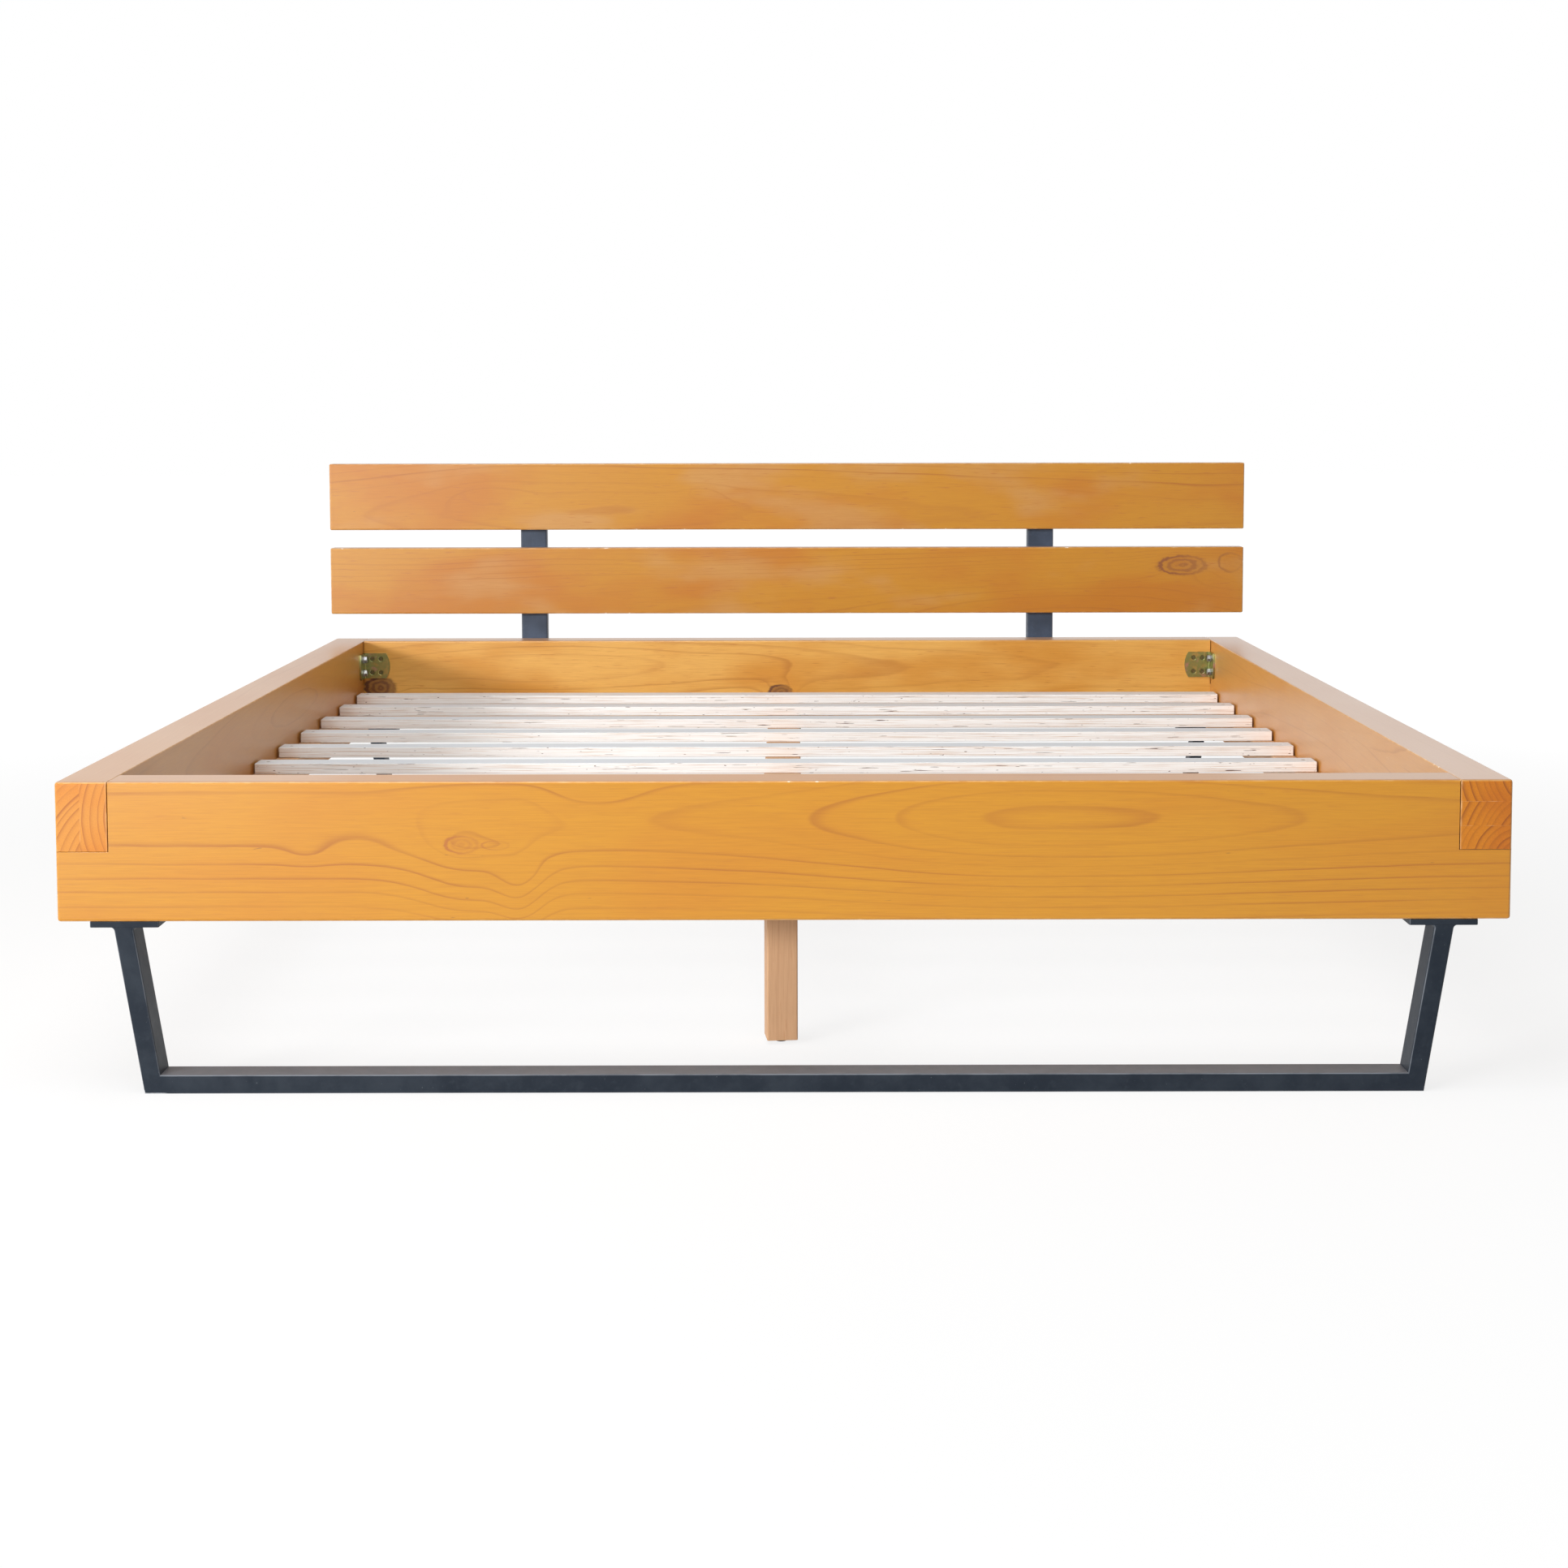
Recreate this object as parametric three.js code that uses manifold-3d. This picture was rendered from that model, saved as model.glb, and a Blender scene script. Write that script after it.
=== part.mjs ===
// Beam bed frame, mattress size about 1800 x 2000, on two steel skids.
// Millimetres, +Z up, X across the bed, +Y towards the headboard, floor at Z = 0.
import * as THREE from 'three';
import { RoundedBoxGeometry } from 'three/addons/geometries/RoundedBoxGeometry.js';
import { mergeVertices } from 'three/addons/utils/BufferGeometryUtils.js';
import Module from 'manifold-3d';

const wasm = await Module();
wasm.setup();

// ---------------------------------------------------------------- driving dimensions

// Clear room inside the rails.
const INNER_WIDTH = 1820;
const INNER_LENGTH = 2015;

// Rails: solid pine beams, lapped at the corners.
const RAIL_THICKNESS = 70;
const RAIL_HEIGHT = 190;
const RAIL_UNDERSIDE = 237;
const RAIL_ARRIS = 4;
const LAP_HEIGHT = 95;
const LAP_CLEARANCE = 1;

// Gap left between faces that rest on each other, and round a shank in its hole.
const SEAT_GAP = 0.3;

// Slats.
const SLAT_COUNT = 10;
const SLAT_WIDTH = 53;
const SLAT_THICKNESS = 18;
const SLAT_ARRIS = 1.5;
const SLAT_DROP = 105;
const SLAT_END_CLEARANCE = 4;
const FOOT_SLAT_GAP = 34;
const HEAD_SLAT_GAP = 64;

// Ledgers that carry the slat ends.
const LEDGER_WIDTH = 41;
const LEDGER_HEIGHT = 43;
const LEDGER_ARRIS = 2;
const LEDGER_END_CLEARANCE = 12;

// Centre beam, a little left of the middle, and the steel shoes at its ends.
const BEAM_WIDTH = 63;
const BEAM_HEIGHT = 72;
const BEAM_OFFSET = -6;
const BEAM_ARRIS = 3;
const SHOE_STEEL = 3;
const SHOE_LENGTH = 45;
const SHOE_CHEEK_HEIGHT = 48;

// Centre legs on threaded rods.
const LEG_SIDE = 45;
const LEG_ARRIS = 2;
const LEG_FROM_RAIL = 222;
const LEG_TURN_DEG = 6;
const LEG_HEADROOM = 6.5;
const ROD_DIAMETER = 10;
const ROD_IN_LEG = 40;
const ROD_IN_BEAM = 35;
const GLIDE_DIAMETER = 19;
const GLIDE_HEIGHT = 5;
const GLIDE_NAIL_DIAMETER = 3;
const GLIDE_NAIL_LENGTH = 18;

// Skids: rectangular steel tube with flat top plates.
const TUBE_FACE = 26;
const TUBE_DEPTH = 50;
const TUBE_WALL = 2;
const TUBE_CORNER = 3;
const SKID_SETBACK = 2;
const SKID_FLOOR_INSET = 112;
const SKID_TOP_INSET = 75;
const PLATE_INSET = 43;
const PLATE_LENGTH = 93;
const PLATE_THICKNESS = 8;
const PLATE_CORNER = 2;
const PLATE_SCREW_INSET = 15;

// Hex wood screws in the plates.
const SCREW_DIAMETER = 8;
const SCREW_LENGTH = 50;
const SCREW_HEAD_ACROSS = 13;
const SCREW_HEAD_HEIGHT = 5.5;

// Headboard boards and their steel posts.
const BOARD_HEIGHT = 142;
const BOARD_THICKNESS = 40;
const BOARD_ARRIS = 3;
const BOARD_OVERHANG = 3;
const BOARD_GAP = 39;
const BOARD_RISE = 56;
const HEAD_POST_WIDTH = 56;
const HEAD_POST_DEPTH = 30;
const HEAD_POST_WALL = 2;
const HEAD_POST_SPACING = 1098;
const HEAD_POST_FOOT_INSET = 14;
const HEAD_POST_TOP_INSET = 16;

// Corner fittings: one bent steel angle and two bolts at each corner.
const FITTING_LEG = 56;
const FITTING_HEIGHT = 54;
const FITTING_STEEL = 3;
const FITTING_DROP = 26;
const FITTING_BOW = 8;
const FITTING_HOLE_DIAMETER = 5;
const FITTING_HOLE_NEAR = 18.5;
const FITTING_HOLE_FAR = 37;
const FITTING_HOLE_SPACING = 29;
const BOLT_DIAMETER = 8;
const BOLT_LENGTH = 45;
const BOLT_HEAD_ACROSS = 13;
const BOLT_HEAD_HEIGHT = 5.5;
const BOLT_FLANGE_DIAMETER = 17;
const BOLT_FLANGE_HEIGHT = 1.6;

// ---------------------------------------------------------------- derived places

const OUTER_WIDTH = INNER_WIDTH + 2 * RAIL_THICKNESS;
const OUTER_LENGTH = INNER_LENGTH + 2 * RAIL_THICKNESS;
const FRONT = -(OUTER_LENGTH + HEAD_POST_DEPTH + SEAT_GAP) / 2;
const BACK = FRONT + OUTER_LENGTH;
const INNER_FRONT = FRONT + RAIL_THICKNESS;
const INNER_BACK = BACK - RAIL_THICKNESS;
const RAIL_TOP = RAIL_UNDERSIDE + RAIL_HEIGHT;
const LAP_FLOOR = RAIL_TOP - LAP_HEIGHT;
const SLAT_TOP = RAIL_TOP - SLAT_DROP;
const SLAT_UNDERSIDE = SLAT_TOP - SLAT_THICKNESS;
const CARRIER_TOP = SLAT_UNDERSIDE - SEAT_GAP;
const BEAM_UNDERSIDE = CARRIER_TOP - BEAM_HEIGHT;
const LEG_TOP = BEAM_UNDERSIDE - LEG_HEADROOM;
const PLATE_TOP = RAIL_UNDERSIDE - SEAT_GAP;
const PLATE_UNDERSIDE = PLATE_TOP - PLATE_THICKNESS;
const LOWER_BOARD_UNDERSIDE = RAIL_TOP + BOARD_RISE;
const UPPER_BOARD_UNDERSIDE = LOWER_BOARD_UNDERSIDE + BOARD_HEIGHT + BOARD_GAP;
const FITTING_TOP = RAIL_TOP - FITTING_DROP;
const FITTING_MIDDLE = FITTING_TOP - FITTING_HEIGHT / 2;

// ---------------------------------------------------------------- finishes

const finish = (color, roughness, metalness) =>
  new THREE.MeshStandardMaterial({ color, roughness, metalness });
const lacqueredPine = () => finish(0xe0a255, 0.35, 0);
const slatWood = () => finish(0xe6dbc8, 0.7, 0);
const rawPine = () => finish(0xd9b08c, 0.7, 0);
const legPine = () => finish(0xc0916e, 0.6, 0);
const paintedSteel = () => finish(0x373e48, 0.45, 0.3);
const yellowZinc = () => finish(0xa09468, 0.35, 0.8);
const brightZinc = () => finish(0xc4c8cc, 0.3, 0.9);
const blackPlastic = () => finish(0x151515, 0.5, 0);

// ---------------------------------------------------------------- solid helpers

// Only positions, with shared corners merged, as a solid needs them.
function weld(geometry) {
  const bare = geometry.clone();
  bare.deleteAttribute('normal');
  bare.deleteAttribute('uv');
  return mergeVertices(bare, 1e-4);
}

function toManifold(geometry) {
  const welded = weld(geometry);
  return new wasm.Manifold(new wasm.Mesh({
    numProp: 3,
    vertProperties: new Float32Array(welded.attributes.position.array),
    triVerts: new Uint32Array(welded.index.array),
  }));
}

function toGeometry(manifold) {
  const mesh = manifold.getMesh();
  const geometry = new THREE.BufferGeometry();
  const corners = new Float32Array(mesh.vertProperties);
  geometry.setAttribute('position', new THREE.BufferAttribute(corners, 3));
  geometry.setIndex(new THREE.BufferAttribute(new Uint32Array(mesh.triVerts), 1));
  return geometry;
}

// A geometry with the tools cut out of it.
function cut(geometry, tools) {
  const body = toManifold(geometry);
  return toGeometry(tools.reduce((rest, tool) => rest.subtract(toManifold(tool)), body));
}

// Several geometries joined into one solid.
function join(geometries) {
  const [first, ...others] = geometries.map(toManifold);
  return toGeometry(others.reduce((whole, part) => whole.add(part), first));
}

// A block between two corners, with its edges eased by a small radius.
function block(low, high, arris = 0) {
  const size = high.map((value, axis) => value - low[axis]);
  const centre = high.map((value, axis) => (value + low[axis]) / 2);
  const geometry = arris > 0
    ? new RoundedBoxGeometry(...size, 1, arris)
    : new THREE.BoxGeometry(...size);
  return geometry.translate(...centre);
}

// A round bar or hole tool along one axis, from one end to the other.
function rod(diameter, from, to, sides = 16) {
  const start = new THREE.Vector3(...from);
  const end = new THREE.Vector3(...to);
  const along = end.clone().sub(start);
  const geometry = new THREE.CylinderGeometry(diameter / 2, diameter / 2, along.length(), sides);
  const turn = new THREE.Quaternion();
  turn.setFromUnitVectors(new THREE.Vector3(0, 1, 0), along.normalize());
  return geometry.applyQuaternion(turn).translate(...start.add(end).multiplyScalar(0.5).toArray());
}

// The same hole diameter for every shank: the shank and a gap all round.
const holeFor = (shank) => shank + 2 * SEAT_GAP;

// A rectangle with rounded corners, centred on the origin.
function roundedRectangle(width, height, radius) {
  const path = new THREE.Shape();
  const x = width / 2 - radius;
  const y = height / 2 - radius;
  path.absarc(x, y, radius, 0, Math.PI / 2);
  path.absarc(-x, y, radius, Math.PI / 2, Math.PI);
  path.absarc(-x, -y, radius, Math.PI, 1.5 * Math.PI);
  path.absarc(x, -y, radius, 1.5 * Math.PI, 2 * Math.PI);
  path.closePath();
  return path;
}

// The section of a rectangular tube.
function tubeSection(width, height, wall, corner) {
  const outer = roundedRectangle(width, height, corner);
  const inner = roundedRectangle(width - 2 * wall, height - 2 * wall, Math.max(corner - wall, wall / 2));
  outer.holes.push(inner);
  return outer;
}

// A section run along a straight line and cut off by a plane at each end.
// The section's x lies along `side` and its y along `depth`.
function memberBetween(section, origin, side, depth, startPlane, endPlane) {
  const along = new THREE.Vector3().crossVectors(side, depth);
  const geometry = new THREE.ExtrudeGeometry(section, { depth: 1, bevelEnabled: false, curveSegments: 2 });
  const position = geometry.attributes.position;
  for (let i = 0; i < position.count; i += 1) {
    const point = origin.clone()
      .addScaledVector(side, position.getX(i))
      .addScaledVector(depth, position.getY(i));
    const plane = position.getZ(i) < 0.5 ? startPlane : endPlane;
    const reach = -plane.distanceToPoint(point) / plane.normal.dot(along);
    point.addScaledVector(along, reach);
    position.setXYZ(i, ...point.toArray());
  }
  return geometry;
}

const bed = new THREE.Group();

function add(name, geometry, material, group = bed) {
  const mesh = new THREE.Mesh(geometry, material);
  mesh.name = name;
  group.add(mesh);
}

// ---------------------------------------------------------------- fixing positions

const ENDS = [
  { name: 'foot', outside: FRONT, inside: INNER_FRONT, inward: 1 },
  { name: 'head', outside: BACK, inside: INNER_BACK, inward: -1 },
];
const SIDES = [
  { name: 'left', outward: -1 },
  { name: 'right', outward: 1 },
];
const railInside = (side) => side.outward * INNER_WIDTH / 2;
const railOutside = (side) => side.outward * OUTER_WIDTH / 2;

// Depth of a skid, from the outside of the end rail to the middle of its tube.
const skidMiddle = (end) => end.outside + end.inward * (SKID_SETBACK + TUBE_DEPTH / 2);
const plateOuter = (side) => railOutside(side) - side.outward * PLATE_INSET;
const plateInner = (side) => plateOuter(side) - side.outward * PLATE_LENGTH;
const plateScrewPlaces = (side) => [
  { name: 'outer', x: plateOuter(side) - side.outward * PLATE_SCREW_INSET },
  { name: 'inner', x: plateInner(side) + side.outward * PLATE_SCREW_INSET },
];
const fittingRows = [
  { name: 'upper', z: FITTING_MIDDLE + FITTING_HOLE_SPACING / 2 },
  { name: 'lower', z: FITTING_MIDDLE - FITTING_HOLE_SPACING / 2 },
];

// ---------------------------------------------------------------- rails

// An end rail: a full beam whose upper corners are notched for the side rails.
function endRail(end) {
  const nearY = Math.min(end.outside, end.inside);
  const farY = Math.max(end.outside, end.inside);
  const body = block(
    [-OUTER_WIDTH / 2, nearY, RAIL_UNDERSIDE],
    [OUTER_WIDTH / 2, farY, RAIL_TOP],
    RAIL_ARRIS,
  );
  const past = RAIL_THICKNESS;
  const notches = SIDES.map((side) => {
    const shoulder = railInside(side) - side.outward * LAP_CLEARANCE;
    const beyond = railOutside(side) + side.outward * past;
    return block(
      [Math.min(shoulder, beyond), nearY - past, LAP_FLOOR],
      [Math.max(shoulder, beyond), farY + past, RAIL_TOP + past],
    );
  });
  const screwHoles = SIDES.flatMap((side) => plateScrewPlaces(side).map(({ x }) => rod(
    holeFor(SCREW_DIAMETER),
    [x, skidMiddle(end), RAIL_UNDERSIDE - past],
    [x, skidMiddle(end), PLATE_UNDERSIDE + SCREW_LENGTH + SEAT_GAP],
  )));
  add(`${end.name}_rail`, cut(body, [...notches, ...screwHoles]), lacqueredPine());
}

// A side rail: its lower corners are cut away where it lies in the end rails' notches.
function sideRail(side) {
  const nearX = Math.min(railInside(side), railOutside(side));
  const farX = Math.max(railInside(side), railOutside(side));
  const body = block([nearX, FRONT, RAIL_UNDERSIDE], [farX, BACK, RAIL_TOP], RAIL_ARRIS);
  const past = RAIL_THICKNESS;
  const relief = ENDS.map((end) => {
    const shoulder = end.inside + end.inward * LAP_CLEARANCE;
    const beyond = end.outside - end.inward * past;
    return block(
      [nearX - past, Math.min(shoulder, beyond), RAIL_UNDERSIDE - past],
      [farX + past, Math.max(shoulder, beyond), LAP_FLOOR + SEAT_GAP],
    );
  });
  const boltHoles = ENDS.flatMap((end) => fittingRows.map(({ z }) => rod(
    holeFor(BOLT_DIAMETER),
    [railInside(side) - side.outward * past, end.inside + end.inward * FITTING_HOLE_NEAR, z],
    [boltTip(side) + side.outward * SEAT_GAP, end.inside + end.inward * FITTING_HOLE_NEAR, z],
  )));
  add(`${side.name}_side_rail`, cut(body, [...relief, ...boltHoles]), lacqueredPine());
}

// Where the fitting's inner face lies on the side rail, and where a bolt through it ends.
const fittingFace = (side) => railInside(side) - side.outward * (SEAT_GAP + FITTING_STEEL);
const boltSeat = (side) => fittingFace(side) - side.outward * SEAT_GAP;
const boltTip = (side) => boltSeat(side) + side.outward * BOLT_LENGTH;

ENDS.forEach(endRail);
SIDES.forEach(sideRail);

// ---------------------------------------------------------------- ledgers and slats

function ledger(side) {
  const wallX = railInside(side) - side.outward * SEAT_GAP;
  const roomX = wallX - side.outward * LEDGER_WIDTH;
  add(`${side.name}_slat_ledger`, block(
    [Math.min(wallX, roomX), INNER_FRONT + LEDGER_END_CLEARANCE, CARRIER_TOP - LEDGER_HEIGHT],
    [Math.max(wallX, roomX), INNER_BACK - LEDGER_END_CLEARANCE, CARRIER_TOP],
    LEDGER_ARRIS,
  ), rawPine());
}

// Slats count from the foot. The pitch follows from the room between the end gaps.
function slats() {
  const first = INNER_FRONT + FOOT_SLAT_GAP;
  const last = INNER_BACK - HEAD_SLAT_GAP - SLAT_WIDTH;
  const pitch = (last - first) / (SLAT_COUNT - 1);
  const reach = INNER_WIDTH / 2 - SLAT_END_CLEARANCE;
  for (let i = 0; i < SLAT_COUNT; i += 1) {
    const front = first + i * pitch;
    const name = `slat_${String(i + 1).padStart(2, '0')}`;
    add(name, block(
      [-reach, front, SLAT_UNDERSIDE],
      [reach, front + SLAT_WIDTH, SLAT_TOP],
      SLAT_ARRIS,
    ), slatWood());
  }
}

SIDES.forEach(ledger);
slats();

// ---------------------------------------------------------------- centre beam and legs

const legY = (end) => end.inside + end.inward * LEG_FROM_RAIL;
const SHOE_INSIDE_WIDTH = BEAM_WIDTH + 2 * SEAT_GAP;

function centreBeam() {
  const beam = block(
    [BEAM_OFFSET - BEAM_WIDTH / 2, INNER_FRONT + SHOE_STEEL + 2 * SEAT_GAP, BEAM_UNDERSIDE],
    [BEAM_OFFSET + BEAM_WIDTH / 2, INNER_BACK - SHOE_STEEL - 2 * SEAT_GAP, CARRIER_TOP],
    BEAM_ARRIS,
  );
  const rodHoles = ENDS.map((end) => rod(
    holeFor(ROD_DIAMETER),
    [BEAM_OFFSET, legY(end), BEAM_UNDERSIDE - BEAM_HEIGHT],
    [BEAM_OFFSET, legY(end), LEG_TOP + ROD_IN_BEAM + 2 * LEG_HEADROOM],
  ));
  add('centre_beam', cut(beam, rodHoles), rawPine());
}

// A bent steel shoe: a back plate on the rail, a floor and two cheeks round the beam's end.
function beamShoe(end) {
  const back = end.inside + end.inward * SEAT_GAP;
  const mouth = back + end.inward * SHOE_LENGTH;
  const nearY = Math.min(back, mouth);
  const farY = Math.max(back, mouth);
  const floorTop = BEAM_UNDERSIDE - SEAT_GAP;
  const halfOuter = SHOE_INSIDE_WIDTH / 2 + SHOE_STEEL;
  const body = block(
    [BEAM_OFFSET - halfOuter, nearY, floorTop - SHOE_STEEL],
    [BEAM_OFFSET + halfOuter, farY, floorTop + SHOE_CHEEK_HEIGHT],
  );
  const pocketStart = back + end.inward * SHOE_STEEL;
  const pocketEnd = mouth + end.inward * SHOE_LENGTH;
  const pocketTop = floorTop + 2 * SHOE_CHEEK_HEIGHT;
  const pocket = block(
    [BEAM_OFFSET - SHOE_INSIDE_WIDTH / 2, Math.min(pocketStart, pocketEnd), floorTop],
    [BEAM_OFFSET + SHOE_INSIDE_WIDTH / 2, Math.max(pocketStart, pocketEnd), pocketTop],
  );
  add(`${end.name}_beam_shoe`, cut(body, [pocket]), yellowZinc());
}

// A square leg that is screwed up or down on a rod in the beam, with a nailed-on glide.
function centreLeg(end) {
  const name = `${end.name}_centre_leg`;
  const group = new THREE.Group();
  group.position.set(BEAM_OFFSET, legY(end), 0);
  group.rotation.z = THREE.MathUtils.degToRad(LEG_TURN_DEG);
  bed.add(group);

  const legFoot = GLIDE_HEIGHT + SEAT_GAP;
  const half = LEG_SIDE / 2;
  const rodHole = rod(
    holeFor(ROD_DIAMETER),
    [0, 0, LEG_TOP - ROD_IN_LEG - SEAT_GAP],
    [0, 0, LEG_TOP + LEG_SIDE],
  );
  const nailHole = rod(
    holeFor(GLIDE_NAIL_DIAMETER),
    [0, 0, legFoot - LEG_SIDE],
    [0, 0, GLIDE_HEIGHT + GLIDE_NAIL_LENGTH + SEAT_GAP],
    12,
  );
  const leg = block([-half, -half, legFoot], [half, half, LEG_TOP], LEG_ARRIS);
  const legRod = rod(ROD_DIAMETER, [0, 0, LEG_TOP - ROD_IN_LEG], [0, 0, LEG_TOP + ROD_IN_BEAM]);
  add(name, cut(leg, [rodHole, nailHole]), legPine(), group);
  add(`${name}_rod`, legRod, brightZinc(), group);
  add(`${name}_glide`, glide(), blackPlastic(), group);
}

// A shallow dome on the floor, a flat top and a nail up the middle.
function glide() {
  const profile = new THREE.Path();
  const rimHeight = GLIDE_HEIGHT / 2;
  const flat = GLIDE_DIAMETER / 4;
  profile.moveTo(0, 0);
  profile.lineTo(flat, 0);
  profile.quadraticCurveTo(GLIDE_DIAMETER / 2, 0, GLIDE_DIAMETER / 2, rimHeight);
  profile.lineTo(GLIDE_DIAMETER / 2, GLIDE_HEIGHT);
  profile.lineTo(GLIDE_NAIL_DIAMETER / 2, GLIDE_HEIGHT);
  profile.lineTo(GLIDE_NAIL_DIAMETER / 2, GLIDE_HEIGHT + GLIDE_NAIL_LENGTH);
  profile.lineTo(0, GLIDE_HEIGHT + GLIDE_NAIL_LENGTH);
  const points = profile.getPoints(4);
  return new THREE.LatheGeometry(points, 20).rotateX(Math.PI / 2);
}

centreBeam();
ENDS.forEach(beamShoe);
ENDS.forEach(centreLeg);

// ---------------------------------------------------------------- skids

// The outer face of a skid's post runs straight from the plate down to the floor.
function skid(end) {
  const y = skidMiddle(end);
  const section = tubeSection(TUBE_FACE, TUBE_DEPTH, TUBE_WALL, TUBE_CORNER);
  const depth = new THREE.Vector3(0, 1, 0);
  const postTop = PLATE_UNDERSIDE - SEAT_GAP;
  const mitres = [];

  SIDES.forEach((side) => {
    const outFoot = new THREE.Vector3(railOutside(side) - side.outward * SKID_FLOOR_INSET, y, 0);
    const outTop = new THREE.Vector3(railOutside(side) - side.outward * SKID_TOP_INSET, y, postTop);
    const up = outTop.clone().sub(outFoot).normalize();
    const inward = new THREE.Vector3().crossVectors(up, depth).multiplyScalar(side.outward);
    if (inward.x * side.outward > 0) inward.negate();
    const barTopInner = outFoot.clone()
      .addScaledVector(inward, TUBE_FACE)
      .addScaledVector(up, (TUBE_FACE - inward.z * TUBE_FACE) / up.z);
    const mitreDirection = barTopInner.clone().sub(outFoot).normalize();
    const mitreNormal = new THREE.Vector3().crossVectors(mitreDirection, depth).normalize();
    if (mitreNormal.z < 0) mitreNormal.negate();
    const mitre = new THREE.Plane().setFromNormalAndCoplanarPoint(mitreNormal, outFoot);
    mitres.push(mitre);

    const postCentre = outFoot.clone().addScaledVector(inward, TUBE_FACE / 2);
    const postMitre = mitre.clone();
    postMitre.constant -= SEAT_GAP;
    const topPlane = new THREE.Plane(new THREE.Vector3(0, 0, 1), -postTop);
    const across = new THREE.Vector3().crossVectors(depth, up);
    add(
      `${end.name}_skid_${side.name}_post`,
      memberBetween(section, postCentre, across, depth, postMitre, topPlane),
      paintedSteel(),
    );
    skidPlate(end, side);
  });

  const barCentre = new THREE.Vector3(0, y, TUBE_FACE / 2);
  const barSide = new THREE.Vector3(0, 0, -1);
  add(
    `${end.name}_skid_floor_bar`,
    memberBetween(section, barCentre, barSide, depth, mitres[0], mitres[1]),
    paintedSteel(),
  );
}

// A flat plate over the post, with a hole for a wood screw on each side of it.
function skidPlate(end, side) {
  const y = skidMiddle(end);
  const middle = (plateOuter(side) + plateInner(side)) / 2;
  const outline = roundedRectangle(PLATE_LENGTH, TUBE_DEPTH, PLATE_CORNER);
  plateScrewPlaces(side).forEach(({ x }) => {
    const hole = new THREE.Path();
    hole.absarc(x - middle, 0, holeFor(SCREW_DIAMETER) / 2, 0, 2 * Math.PI);
    outline.holes.push(hole);
  });
  const geometry = new THREE.ExtrudeGeometry(outline, {
    depth: PLATE_THICKNESS,
    bevelEnabled: false,
    curveSegments: 4,
  });
  add(`${end.name}_skid_${side.name}_plate`, geometry.translate(middle, y, PLATE_UNDERSIDE), paintedSteel());

  plateScrewPlaces(side).forEach(({ name, x }) => {
    const screw = hexScrew(SCREW_DIAMETER, SCREW_LENGTH, SCREW_HEAD_ACROSS, SCREW_HEAD_HEIGHT);
    screw.translate(x, y, PLATE_UNDERSIDE - SEAT_GAP);
    add(`${end.name}_skid_${side.name}_${name}_screw`, screw, brightZinc());
  });
}

// A hexagon head below the origin and a round shank above it.
function hexScrew(shank, length, across, headHeight) {
  const head = new THREE.CylinderGeometry(across / Math.sqrt(3), across / Math.sqrt(3), headHeight, 6);
  head.rotateX(Math.PI / 2).translate(0, 0, -headHeight / 2);
  const stem = rod(shank, [0, 0, -headHeight / 2], [0, 0, length], 12);
  return join([head, stem]);
}

ENDS.forEach(skid);

// ---------------------------------------------------------------- headboard

function headboard() {
  const reach = OUTER_WIDTH / 2 + BOARD_OVERHANG;
  const board = (name, underside) => add(name, block(
    [-reach, BACK - BOARD_THICKNESS, underside],
    [reach, BACK, underside + BOARD_HEIGHT],
    BOARD_ARRIS,
  ), lacqueredPine());
  board('lower_headboard_board', LOWER_BOARD_UNDERSIDE);
  board('upper_headboard_board', UPPER_BOARD_UNDERSIDE);

  const bottom = RAIL_UNDERSIDE + HEAD_POST_FOOT_INSET;
  const top = UPPER_BOARD_UNDERSIDE + BOARD_HEIGHT - HEAD_POST_TOP_INSET;
  SIDES.forEach((side) => {
    const section = tubeSection(HEAD_POST_WIDTH, HEAD_POST_DEPTH, HEAD_POST_WALL, TUBE_CORNER);
    const geometry = new THREE.ExtrudeGeometry(section, {
      depth: top - bottom,
      bevelEnabled: false,
      curveSegments: 2,
    });
    const x = side.outward * HEAD_POST_SPACING / 2;
    geometry.translate(x, BACK + SEAT_GAP + HEAD_POST_DEPTH / 2, bottom);
    add(`${side.name}_headboard_post`, geometry, paintedSteel());
  });
}

headboard();

// ---------------------------------------------------------------- corner fittings

// One leg of a fitting, drawn with its bend at x = 0 and its bowed end at x = FITTING_LEG.
function fittingLeg(holes) {
  const half = FITTING_HEIGHT / 2;
  const shoulder = FITTING_LEG - FITTING_BOW;
  const bowRadius = (half * half + FITTING_BOW * FITTING_BOW) / (2 * FITTING_BOW);
  const bowAngle = Math.asin(half / bowRadius);
  const outline = new THREE.Shape();
  outline.moveTo(0, -half);
  outline.lineTo(shoulder, -half);
  outline.absarc(FITTING_LEG - bowRadius, 0, bowRadius, -bowAngle, bowAngle);
  outline.lineTo(0, half);
  outline.closePath();
  holes.forEach(([x, y, diameter]) => {
    const hole = new THREE.Path();
    hole.absarc(x, y, diameter / 2, 0, 2 * Math.PI);
    outline.holes.push(hole);
  });
  return new THREE.ExtrudeGeometry(outline, { depth: FITTING_STEEL, bevelEnabled: false, curveSegments: 4 });
}

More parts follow.
